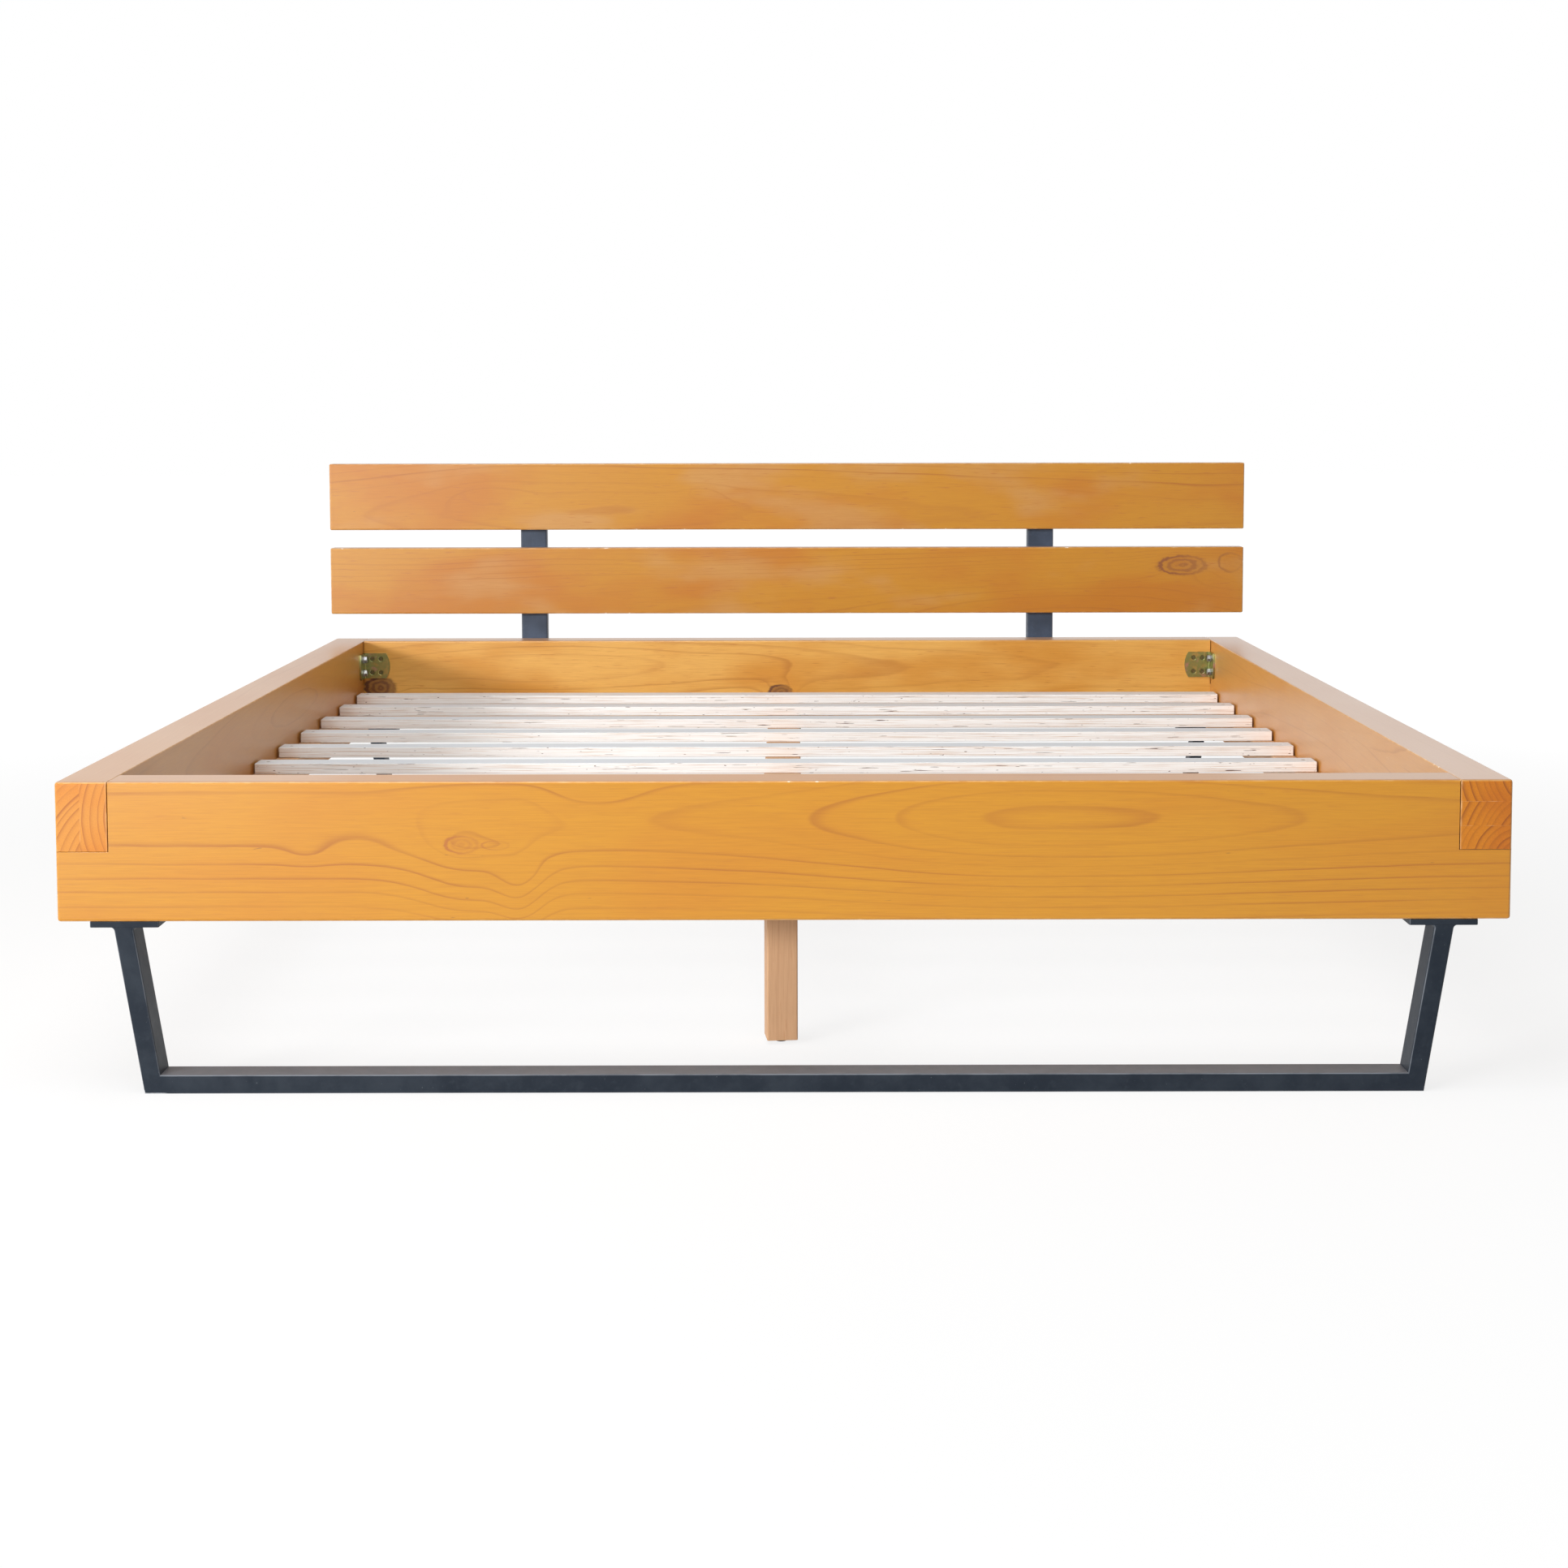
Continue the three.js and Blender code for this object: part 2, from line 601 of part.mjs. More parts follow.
// An angle with four screw holes on the end rail and two bolt holes on the side rail.
function cornerFitting(end, side) {
  const rows = [FITTING_HOLE_SPACING / 2, -FITTING_HOLE_SPACING / 2];
  const near = FITTING_HOLE_NEAR - SEAT_GAP;
  const far = FITTING_HOLE_FAR - SEAT_GAP;
  const screwHoles = [near, far].flatMap((x) => rows.map((z) => [x, z, FITTING_HOLE_DIAMETER]));
  const boltHoles = rows.map((z) => [near, z, holeFor(BOLT_DIAMETER)]);
  // Drawn for the corner where the end rail runs along +X and the side rail along +Y.
  const onEndRail = fittingLeg(screwHoles).rotateX(Math.PI / 2).translate(0, FITTING_STEEL, 0);
  const onSideRail = fittingLeg(boltHoles).rotateX(Math.PI / 2).rotateZ(Math.PI / 2);
  const turned = mirrorInto(join([onEndRail, onSideRail]), -side.outward, end.inward);
  turned.translate(
    railInside(side) - side.outward * SEAT_GAP,
    end.inside + end.inward * SEAT_GAP,
    FITTING_MIDDLE,
  );
  const name = `${end.name}_${side.name}_corner_fitting`;
  add(name, turned, yellowZinc());

  fittingRows.forEach((row) => {
    const bolt = flangeBolt();
    bolt.rotateY(side.outward * Math.PI / 2);
    bolt.translate(boltSeat(side), end.inside + end.inward * FITTING_HOLE_NEAR, row.z);
    add(`${end.name}_${side.name}_${row.name}_bolt`, bolt, brightZinc());
  });
}

// The geometry flipped in X or Y, with its faces kept pointing outwards.
function mirrorInto(geometry, signX, signY) {
  const flipped = geometry.scale(signX, signY, 1);
  if (signX * signY > 0) return flipped;
  const index = flipped.index.array;
  for (let i = 0; i < index.length; i += 3) {
    const second = index[i + 1];
    index[i + 1] = index[i + 2];
    index[i + 2] = second;
  }
  return flipped;
}

// A bolt with a washer flange: head below the origin, shank above it.
function flangeBolt() {
  const flange = rod(BOLT_FLANGE_DIAMETER, [0, 0, -BOLT_FLANGE_HEIGHT], [0, 0, 0], 20);
  const screw = hexScrew(BOLT_DIAMETER, BOLT_LENGTH, BOLT_HEAD_ACROSS, BOLT_FLANGE_HEIGHT + BOLT_HEAD_HEIGHT);
  return join([flange, screw]);
}

ENDS.forEach((end) => SIDES.forEach((side) => cornerFitting(end, side)));

export default bed;
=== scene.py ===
import math

import bmesh
import bpy
from mathutils import Matrix, Vector


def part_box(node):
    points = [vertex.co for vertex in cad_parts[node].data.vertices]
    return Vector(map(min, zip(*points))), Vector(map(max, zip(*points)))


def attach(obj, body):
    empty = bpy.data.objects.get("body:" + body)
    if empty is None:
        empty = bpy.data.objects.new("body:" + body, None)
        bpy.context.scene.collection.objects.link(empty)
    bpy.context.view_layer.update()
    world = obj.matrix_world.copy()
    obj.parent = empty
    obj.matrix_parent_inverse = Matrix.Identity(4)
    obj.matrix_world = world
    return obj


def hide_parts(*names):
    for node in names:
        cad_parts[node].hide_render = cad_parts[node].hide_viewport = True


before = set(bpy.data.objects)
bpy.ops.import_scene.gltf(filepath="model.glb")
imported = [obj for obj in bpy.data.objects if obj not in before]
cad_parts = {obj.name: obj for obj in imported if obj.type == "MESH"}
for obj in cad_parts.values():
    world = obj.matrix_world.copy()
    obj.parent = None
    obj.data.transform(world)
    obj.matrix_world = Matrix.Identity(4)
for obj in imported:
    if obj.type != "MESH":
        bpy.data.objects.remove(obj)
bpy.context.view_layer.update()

MM = 0.001

# ---------------------------------------------------------------- named sizes

RAIL_ARRIS = 4 * MM
SEAM_ARRIS = 0.7 * MM
LAP_HEIGHT = 95 * MM
LAP_CLEARANCE = 1 * MM
SEAT_GAP = 0.3 * MM
BOARD_ARRIS = 3 * MM
SLAT_ARRIS = 1.5 * MM
LEDGER_ARRIS = 2 * MM
BEAM_ARRIS = 3 * MM
BEARER_END_ARRIS = 0.8 * MM
LEG_ARRIS = 2.5 * MM
LEG_TURN = math.radians(6)
LEG_SIDE = 45 * MM
ROD_DIAMETER = 10 * MM
ROD_PITCH = 1.5 * MM
ROD_BORE = 10.6 * MM
GLIDE_RADIUS = 9.5 * MM
GLIDE_HEIGHT = 5 * MM
GLIDE_RIM = Vector((4.3, 3.0)) * MM
NAIL_RADIUS = 1.5 * MM
NAIL_TIP = 23 * MM
NAIL_HOLE = 3.6 * MM
NAIL_HOLE_DEPTH = 18.3 * MM

TUBE_FACE = 26 * MM
TUBE_DEPTH = 50 * MM
TUBE_CORNER = 3 * MM
WELD_LEG = 5 * MM
WELD_REACH = 4.6 * MM
POST_WALL = 2 * MM

SHEET_STEEL = 3 * MM
FITTING_LEG = 56 * MM
FITTING_HEIGHT = 54 * MM
FITTING_BOW_RADIUS = 49.6 * MM
FITTING_HOLE_NEAR = 18.5 * MM
FITTING_HOLE_FAR = 37 * MM
FITTING_HOLE_SPACING = 29 * MM

BOLT_SHANK = 8 * MM
BOLT_HOLE = 8.6 * MM
BOLT_LENGTH = 45 * MM
BOLT_FLANGE = 17 * MM
COACH_SCREW_LENGTH = 50 * MM
HEX_ACROSS = 13 * MM
HEX_HEIGHT = 5.5 * MM

# Countersunk holes: the shank's hole, the head's width and the head's depth.
WOOD_SCREW_HOLE = (4.6 * MM, 8.6 * MM, 2.4 * MM)
SHOE_SCREW_HOLE = (4.6 * MM, 8.6 * MM, 2.2 * MM)
FITTING_SCREW_HOLE = (5 * MM, 11.2 * MM, 2.7 * MM)

SIDES = {"left": -1, "right": 1}
ENDS = {"foot": 1, "head": -1}
PLACES = ("inner", "outer")

# ---------------------------------------------------------------- bench tools


def put_down():
    """Leaves nothing selected."""
    bpy.ops.object.select_all(action="DESELECT")


def take(*pieces):
    """Selects just these pieces. The last one is the active one."""
    put_down()
    for piece in pieces:
        piece.select_set(True)
    bpy.context.view_layer.objects.active = pieces[-1]


def fix_place(piece):
    """Writes a piece's place, turn and size into its mesh."""
    take(piece)
    bpy.ops.object.transform_apply(location=True, rotation=True, scale=True)
    return piece


def fresh(name):
    """Names the primitive that was just added."""
    piece = bpy.context.object
    piece.name = name
    piece.data.name = name
    return piece


def centre_of(node):
    """The middle of a node's box."""
    low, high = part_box(node)
    return (low + high) / 2


def block(name, low, high):
    """A block of stock between two corners."""
    low, high = Vector(low), Vector(high)
    put_down()
    bpy.ops.mesh.primitive_cube_add(size=1, location=(low + high) / 2)
    piece = fresh(name)
    piece.scale = high - low
    return fix_place(piece)


def disc(name, diameter, low, high, sides):
    """A round plate between two heights."""
    put_down()
    bpy.ops.mesh.primitive_cylinder_add(
        vertices=sides, radius=diameter / 2, depth=high - low, location=(0, 0, (low + high) / 2)
    )
    return fix_place(fresh(name))


def bar(name, start, end, diameter, sides=32, far_diameter=None):
    """A round or tapered bar between two points."""
    start, end = Vector(start), Vector(end)
    put_down()
    bpy.ops.mesh.primitive_cone_add(
        vertices=sides,
        radius1=diameter / 2,
        radius2=(diameter if far_diameter is None else far_diameter) / 2,
        depth=(end - start).length,
        location=(start + end) / 2,
        rotation=(end - start).to_track_quat("Z", "Y").to_euler(),
    )
    return fix_place(fresh(name))


def wire(name, points):
    """A bent wire through some points, to be swept round into a solid."""
    put_down()
    bpy.ops.mesh.primitive_circle_add(vertices=3, radius=1)
    piece = fresh(name)
    piece.data.clear_geometry()
    piece.data.from_pydata(points, [(i, i + 1) for i in range(len(points) - 1)], [])
    return piece


def middle(edge):
    """The point half way along an edge."""
    return (edge.verts[0].co + edge.verts[1].co) / 2


def direction(edge):
    """Which way an edge runs."""
    return (edge.verts[1].co - edge.verts[0].co).normalized()


def upright(edge):
    return abs(direction(edge).z) > 0.9


def facing_up(face):
    return face.normal.z > 0.9


def facing_down(face):
    return face.normal.z < -0.9


def all_of_it(part):
    return True


def choose(piece, kind, test):
    """Goes into edit mode with just the faces, edges or points selected that pass the test."""
    take(piece)
    bpy.ops.object.mode_set(mode="EDIT")
    bpy.ops.mesh.select_mode(type=kind)
    bpy.ops.mesh.select_all(action="DESELECT")
    mesh = bmesh.from_edit_mesh(piece.data)
    for part in {"VERT": mesh.verts, "EDGE": mesh.edges, "FACE": mesh.faces}[kind]:
        if test(part):
            part.select_set(True)
    bmesh.update_edit_mesh(piece.data)


def done():
    bpy.ops.object.mode_set(mode="OBJECT")


def saw(piece, at, across, keep=None, close=True):
    """Saws a mark right through a piece, or cuts off what lies past it, and may close the cut."""
    choose(piece, "FACE", all_of_it)
    bpy.ops.mesh.bisect(
        plane_co=at,
        plane_no=across,
        use_fill=close and keep is not None,
        clear_outer=keep == "behind",
        clear_inner=keep == "ahead",
    )
    done()


def pull(piece, test, move):
    """Extrudes the chosen faces by a move."""
    choose(piece, "FACE", test)
    bpy.ops.mesh.extrude_region_move(TRANSFORM_OT_translate={"value": move})
    done()


def round_off(piece, radius, test, segments=4):
    """Rounds the edges that pass the test."""
    choose(piece, "EDGE", test)
    bpy.ops.mesh.bevel(offset=radius, offset_type="OFFSET", segments=segments, affect="EDGES")
    done()


def apply_modifier(piece, kind, **settings):
    """Adds a modifier, sets it and applies it."""
    modifier = piece.modifiers.new(kind.lower(), kind)
    for key, value in settings.items():
        setattr(modifier, key, value)
    take(piece)
    bpy.ops.object.modifier_apply(modifier=modifier.name)


def thicken(piece, thickness):
    """Gives an open skin its wall, on the inside."""
    apply_modifier(piece, "SOLIDIFY", thickness=thickness, offset=-1, use_even_offset=True)


def ease(piece, radius, share=lambda edge: 1.0, segments=3):
    """Rounds the outward corners of a piece, each to its share of the radius."""
    take(piece)
    bpy.ops.object.mode_set(mode="EDIT")
    mesh = bmesh.from_edit_mesh(piece.data)
    weights = mesh.edges.layers.float.get("bevel_weight_edge")
    weights = weights or mesh.edges.layers.float.new("bevel_weight_edge")
    for edge in mesh.edges:
        outward = edge.calc_face_angle_signed(0) > math.radians(25)
        edge[weights] = share(edge) if outward else 0.0
    bmesh.update_edit_mesh(piece.data)
    done()
    apply_modifier(piece, "BEVEL", width=radius, segments=segments, limit_method="WEIGHT")


def combine(piece, cutter, operation):
    """Cuts away, keeps or adds another shape, and throws that shape away."""
    apply_modifier(piece, "BOOLEAN", object=cutter, operation=operation, solver="EXACT")
    bpy.data.objects.remove(cutter)


def bore(piece, start, end, diameter, sides=24):
    """Drills a round hole from one point to another."""
    combine(piece, bar("drill", start, end, diameter, sides), "DIFFERENCE")


def countersink(piece, at, into, depth, hole):
    """Drills a screw hole: a cone at the surface and a straight hole below it."""
    shank, head, head_depth = hole
    at, into = Vector(at), Vector(into).normalized()
    past = 0.5 * MM
    straight = bar("drill", at - into * past, at + into * depth, shank, 20)
    spread = head + (head - shank) * past / head_depth
    cone = bar("drill", at - into * past, at + into * head_depth, spread, 28, shank)
    combine(cone, straight, "UNION")
    combine(piece, cone, "DIFFERENCE")


def unite(name, piece, *others):
    """Makes one solid of pieces that overlap."""
    for other in others:
        combine(piece, other, "UNION")
    take(piece)
    return fresh(name)


def draw_out(steps, centre=(0, 0, 0)):
    """In edit mode, extrudes the selection step by step: a move, and what its end grows or shrinks to."""
    for move, spread in steps:
        bpy.ops.mesh.extrude_region_move(TRANSFORM_OT_translate={"value": move})
        bpy.ops.transform.resize(value=spread, center_override=centre)


def turn_out(piece, steps):
    """Draws the flat end that faces up out by (height, share of the width) steps, as on a lathe."""
    choose(piece, "FACE", facing_up)
    draw_out([((0, 0, rise), (spread, spread, 1)) for rise, spread in steps])
    done()


def face_outward():
    """In edit mode, turns every face outward."""
    bpy.ops.mesh.select_all(action="SELECT")
    bpy.ops.mesh.normals_make_consistent(inside=False)


def weld(name, *pieces):
    """Joins pieces into one and merges the points where they meet."""
    take(*pieces)
    bpy.ops.object.join()
    piece = fresh(name)
    choose(piece, "VERT", all_of_it)
    bpy.ops.mesh.remove_doubles(threshold=0.02 * MM)
    done()
    return piece


def copy_to(piece, name, place):
    """A copy of a piece with its own mesh, set down at a place."""
    twin = piece.copy()
    twin.data = piece.data.copy()
    twin.name = twin.data.name = name
    bpy.context.scene.collection.objects.link(twin)
    twin.matrix_world = place @ twin.matrix_world
    fix_place(twin)
    if place.determinant() < 0:
        choose(twin, "FACE", all_of_it)
        face_outward()
        done()
    return twin


def dress(piece, material, body="bed_frame", nodes=()):
    """Finishes a piece: smooth faces, its material, the body it rides on and what it stands for."""
    take(piece)
    bpy.ops.object.shade_smooth_by_angle(angle=math.radians(35))
    apply_modifier(piece, "WEIGHTED_NORMAL", keep_sharp=True)
    piece.data.materials.clear()
    piece.data.materials.append(material)
    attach(piece, body)
    if nodes:
        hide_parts(*nodes)
    return piece


# ---------------------------------------------------------------- rails


def end_rail(end):
    """A beam across the bed. Its upper corners are notched to take the side rails."""
    low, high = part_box(f"{end}_rail")
    lap = high.z - LAP_HEIGHT
    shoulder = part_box("right_side_rail")[0].x - LAP_CLEARANCE
    piece = block(f"{end}_rail_beam", low, (high.x, high.y, lap))
    for x in (-shoulder, shoulder):
        saw(piece, (x, 0, 0), (1, 0, 0))
    pull(
        piece,
        lambda face: facing_up(face) and abs(face.calc_center_median().x) < shoulder,
        (0, 0, LAP_HEIGHT),
    )

    def share(edge):
        spot = middle(edge)
        in_seam = abs(spot.x) > shoulder - MM and spot.z > lap - MM
        return SEAM_ARRIS / RAIL_ARRIS if in_seam else 1.0

    ease(piece, RAIL_ARRIS, share)
    return piece


def side_rail(side):
    """A beam along the bed. Its lower corners are cut away where it lies on the end rails."""
    low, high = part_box(f"{side}_side_rail")
    lap = high.z - LAP_HEIGHT + SEAT_GAP
    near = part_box("foot_rail")[1].y + LAP_CLEARANCE
    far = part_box("head_rail")[0].y - LAP_CLEARANCE
    inner_x = low.x if side == "right" else high.x
    piece = block(f"{side}_side_rail_beam", (low.x, low.y, lap), high)
    for y in (near, far):
        saw(piece, (0, y, 0), (0, 1, 0))
    pull(
        piece,
        lambda face: facing_down(face) and near < face.calc_center_median().y < far,
        (0, 0, low.z - lap),
    )

    def share(edge):
        spot = middle(edge)
        over_end_rail = not near + MM < spot.y < far - MM
        touches = spot.z < lap + MM or (abs(spot.x - inner_x) < MM and spot.z > lap)
        return SEAM_ARRIS / RAIL_ARRIS if over_end_rail and touches else 1.0

    ease(piece, RAIL_ARRIS, share)
    return piece


def plank(name, low, high, arris, end_arris=None):
    """A straight plank with rounded long corners and eased ends."""
    long_way = max(range(3), key=lambda axis: (high - low)[axis])
    end_share = 1.0 if end_arris is None else end_arris / arris
    piece = block(name, low, high)
    ease(piece, arris, lambda edge: 1.0 if abs(direction(edge)[long_way]) > 0.9 else end_share)
    return piece


# ---------------------------------------------------------------- screws and bolts


def screw_thread(name, diameter, pitch, length):
    """A rolled thread that starts at the origin and runs up, with closed ends."""
    root = diameter / 2 - 0.61 * pitch
    # The profile of one turn: root, flank, crest, flank.
    profile = [
        (root, 0, 0.0),
        (root, 0, 0.12 * pitch),
        (diameter / 2, 0, 0.5 * pitch),
        (diameter / 2, 0, 0.62 * pitch),
        (root, 0, 1.0 * pitch),
    ]
    piece = wire(name, profile)
    apply_modifier(
        piece,
        "SCREW",
        steps=20,
        render_steps=20,
        iterations=max(1, round(length / pitch)),
        screw_offset=pitch,
        use_merge_vertices=True,
        merge_threshold=0.001 * MM,
        use_normal_calculate=True,
    )
    choose(piece, "EDGE", lambda edge: edge.is_boundary)
    bpy.ops.mesh.fill()
    face_outward()
    done()
    return piece


def raised(piece, height):
    """Moves a piece straight up."""
    piece.location.z = height
    return fix_place(piece)


def cross_recess(piece, width, depth):
    """Punches a cross recess into a screw head whose top is at the origin."""
    for turn in (0, math.pi / 2):
        punch = block("punch", (-width / 2, -width / 8, -depth), (width / 2, width / 8, depth))
        choose(punch, "FACE", facing_down)
        bpy.ops.transform.resize(value=(0.45, 0.8, 1))
        done()
        punch.rotation_euler.z = turn
        fix_place(punch)
        combine(piece, punch, "DIFFERENCE")


def countersunk_screw(head, shank, length):
    """A countersunk cross-head wood screw: the top of its head lies at the origin, its point below."""
    cone_depth = (head - shank) / 2
    piece = disc("screw", head, -0.25 * MM, 0, 32)
    steps = (
        (shank / head, cone_depth),
        (1.0, length * 0.25),
        (0.82, 0.4 * MM),
        (1.0, length * 0.6),
        (0.12, length * 0.15 - cone_depth / 2),
    )
    choose(piece, "FACE", facing_down)
    draw_out([((0, 0, -depth), (spread, spread, 1)) for spread, depth in steps])
    done()
    cross_recess(piece, head * 0.56, 1.5 * MM)
    ease(piece, 0.12 * MM, segments=2)
    return piece


def hexagon(across, low, high):
    """A hexagon head with chamfered corners between two heights."""
    corners = across / math.cos(math.pi / 6)
    piece = bar("head", (0, 0, low), (0, 0, high), corners, 6)
    lathe = bar("lathe", (0, 0, low - MM), (0, 0, high - 0.16 * (high - low)), corners * 1.004, 48)
    turn_out(lathe, [(2 * MM, 0.7)])
    combine(piece, lathe, "INTERSECT")
    return piece


def flange_bolt(washer, shank, length, across, head):
    """A hexagon bolt with a washer flange. Its head stands above the origin, its thread runs down."""
    under_head = 6 * MM
    top = 1.6 * MM + head
    piece = disc("bolt", washer, 0, 0.6 * MM, 48)
    turn_out(piece, [(0.25 * MM, 0.97), (0.75 * MM, 0.84)])
    head_piece = hexagon(across, 1.2 * MM, top)
    dish = bar("dish", (0, 0, top - 0.5 * MM), (0, 0, 3 * MM + head), across * 0.5, 32, across * 0.8)
    combine(head_piece, dish, "DIFFERENCE")
    collar = bar("collar", (0, 0, 0.2 * MM), (0, 0, -under_head), shank - 0.4 * MM, 32)
    thread = raised(screw_thread("thread", shank, 1.25 * MM, length - under_head), -length)
    return unite("bolt", piece, head_piece, collar, thread)


def coach_screw(shank, length, across, head):
    """A hexagon wood screw. Its head hangs below the origin, its thread runs up."""
    piece = hexagon(across, 0, head)
    piece.rotation_euler.x = math.pi
    fix_place(piece)
    stem = bar("stem", (0, 0, -0.2 * MM), (0, 0, 14 * MM), shank, 32)
    thread = raised(screw_thread("thread", shank, 2.5 * MM, length - 18 * MM), 12 * MM)
    point = bar("point", (0, 0, length - 8 * MM), (0, 0, length), shank - 3 * MM, 24, 0.6 * MM)
    return unite("screw", piece, stem, thread, point)


def button_screw(head, rise, shank, length):
    """A round-topped screw with a hexagon socket. Its head stands on the origin, its shank runs down."""
    piece = disc("screw", head, 0, rise * 0.25, 40)
    dome = ((0.25, 0.95), (0.22, 0.86), (0.17, 0.75), (0.11, 0.62))
    turn_out(piece, [(rise * lift, spread) for lift, spread in dome])
    combine(piece, bar("key", (0, 0, rise * 0.3), (0, 0, rise * 2), head * 0.4, 6), "DIFFERENCE")
    ease(piece, 0.15 * MM, segments=2)
    shank_bar = bar("shank", (0, 0, 0.2 * MM), (0, 0, -length), shank, 24, shank * 0.8)
    return unite("screw", piece, shank_bar)


# ---------------------------------------------------------------- steel


def tube_length(name, start, end, across, face=TUBE_FACE, depth=TUBE_DEPTH):
    """An open length of rectangular tube between two points. Across is the way its face measures."""
    start, end = Vector(start), Vector(end)
    along = (end - start).normalized()
    across = Vector(across).normalized()
    half = Vector((face, depth, (end - start).length)) / 2
    piece = block(name, -half, half)
    round_off(piece, TUBE_CORNER, upright)
    choose(piece, "FACE", lambda face: abs(face.normal.z) > 0.9)
    bpy.ops.mesh.delete(type="ONLY_FACE")
    done()
    turn = Matrix((across, along.cross(across), along)).transposed().to_4x4()
    piece.matrix_world = Matrix.Translation((start + end) / 2) @ turn
    return fix_place(piece)


def flare_weld(post, middle_top, up):
    """Draws a post's open top out into its weld, whose hollow face swings from the tube to the plate."""
    tube_width = TUBE_FACE / up.z
    choose(post, "EDGE", lambda edge: edge.is_boundary and middle(edge).z > middle_top.z - MM)
    width, spot = tube_width, middle_top
    for swing in (math.pi / 8 * step for step in range(1, 5)):
        rise, reach = WELD_LEG * math.sin(swing), WELD_REACH * (1 - math.cos(swing))
        step = middle_top + Vector((up.x / up.z * rise, 0, rise)) - spot
        wider = (tube_width + 2 * reach) / width
        draw_out([(step, (wider, 1, 1))], spot + step)
        width, spot = width * wider, spot + step
    bpy.ops.mesh.edge_face_add()
    done()


def skid_frame(end):
    """A skid: two slanted posts and a floor bar, mitred, welded and flared into their weld fillets."""
    bar_low, bar_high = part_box(f"{end}_skid_floor_bar")
    weld_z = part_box(f"{end}_skid_right_plate")[0].z - WELD_LEG
    middle_y = (bar_low.y + bar_high.y) / 2
    members = []
    mitres = []
    for side, out in SIDES.items():
        low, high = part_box(f"{end}_skid_{side}_post")
        outer_foot = Vector((bar_high.x if out > 0 else bar_low.x, middle_y, 0))
        outer_top = Vector((high.x if out > 0 else low.x, middle_y, high.z))
        up = (outer_top - outer_foot).normalized()
        inward = Vector((-out * up.z, 0, up.x * out))
        corner_inside = outer_foot + inward * TUBE_FACE
        corner_inside += up * ((TUBE_FACE - corner_inside.z) / up.z)
        across_mitre = (corner_inside - outer_foot).cross(Vector((0, 1, 0))).normalized()
        if across_mitre.z < 0:
            across_mitre.negate()
        mitres.append((outer_foot, across_mitre))
        foot = outer_foot + inward * TUBE_FACE / 2
        # Each post starts out too long, and is cut to the floor bar and to its plate.
        post = tube_length("post", foot - up * TUBE_FACE * 2, foot + up * 0.3, inward)
        saw(post, outer_foot, across_mitre, "ahead", close=False)
        saw(post, (0, 0, weld_z), (0, 0, 1), "behind", close=False)
        flare_weld(post, foot + up * ((weld_z - foot.z) / up.z), up)
        members.append(post)
    start = (bar_low.x - TUBE_FACE, middle_y, TUBE_FACE / 2)
    floor_bar = tube_length("floor_bar", start, (bar_high.x + TUBE_FACE, middle_y, TUBE_FACE / 2), (0, 0, 1))
    for at, across in mitres:
        saw(floor_bar, at, across, "behind", close=False)
    return weld(f"{end}_skid_welded_frame", *members, floor_bar)


def skid_plate(end, side):
    """A flat plate with rounded corners and a hole for a screw near each end."""
    low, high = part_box(f"{end}_skid_{side}_plate")
    piece = block(f"{end}_{side}_plate_steel", low, high)
    round_off(piece, 2.5 * MM, upright)
    for place in PLACES:
        x, y, _ = centre_of(f"{end}_skid_{side}_{place}_screw")
        bore(piece, (x, y, low.z - MM), (x, y, high.z + MM), BOLT_HOLE, 32)
    ease(piece, 0.6 * MM, segments=2)
    return piece


def headboard_post(side):
    """A rectangular tube behind the boards, open at both ends."""
    low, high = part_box(f"{side}_headboard_post")
    x, y, _ = (low + high) / 2
    piece = tube_length("post", (x, y, low.z), (x, y, high.z), (1, 0, 0), high.x - low.x, high.y - low.y)
    thicken(piece, POST_WALL)
    return piece


def corner_fitting():
    """A pressed angle with bowed ends: four countersunk holes in one leg, two bolt holes in the other."""
    half = FITTING_HEIGHT / 2
    near, far = FITTING_HOLE_NEAR - SEAT_GAP, FITTING_HOLE_FAR - SEAT_GAP
    piece = block("fitting", (0, 0, -half), (FITTING_LEG, SHEET_STEEL, half))
    saw(piece, (SHEET_STEEL, 0, 0), (1, 0, 0))
    pull(
        piece,
        lambda face: face.normal.y > 0.9 and face.calc_center_median().x < SHEET_STEEL,
        (0, FITTING_LEG - SHEET_STEEL, 0),
    )
    for spot, radius in ((0, 4.5 * MM), (SHEET_STEEL, 1.6 * MM)):
        bend = Vector((spot, spot))
        round_off(
            piece, radius, lambda edge: upright(edge) and (middle(edge).xy - bend).length < 0.2 * MM, 6
        )
    bow = FITTING_LEG - FITTING_BOW_RADIUS
    reach = 2 * FITTING_LEG
    for start, end in (((bow, -reach, 0), (bow, reach, 0)), ((-reach, bow, 0), (reach, bow, 0))):
        combine(piece, bar("bow", start, end, 2 * FITTING_BOW_RADIUS, 160), "INTERSECT")
    for z in (-FITTING_HOLE_SPACING / 2, FITTING_HOLE_SPACING / 2):
        for x in (near, far):
            countersink(piece, (x, SHEET_STEEL, z), (0, -1, 0), 5 * MM, FITTING_SCREW_HOLE)
        bore(piece, (-MM, near, z), (5 * MM, near, z), BOLT_HOLE, 32)
    ease(piece, 0.35 * MM, segments=2)
    return piece


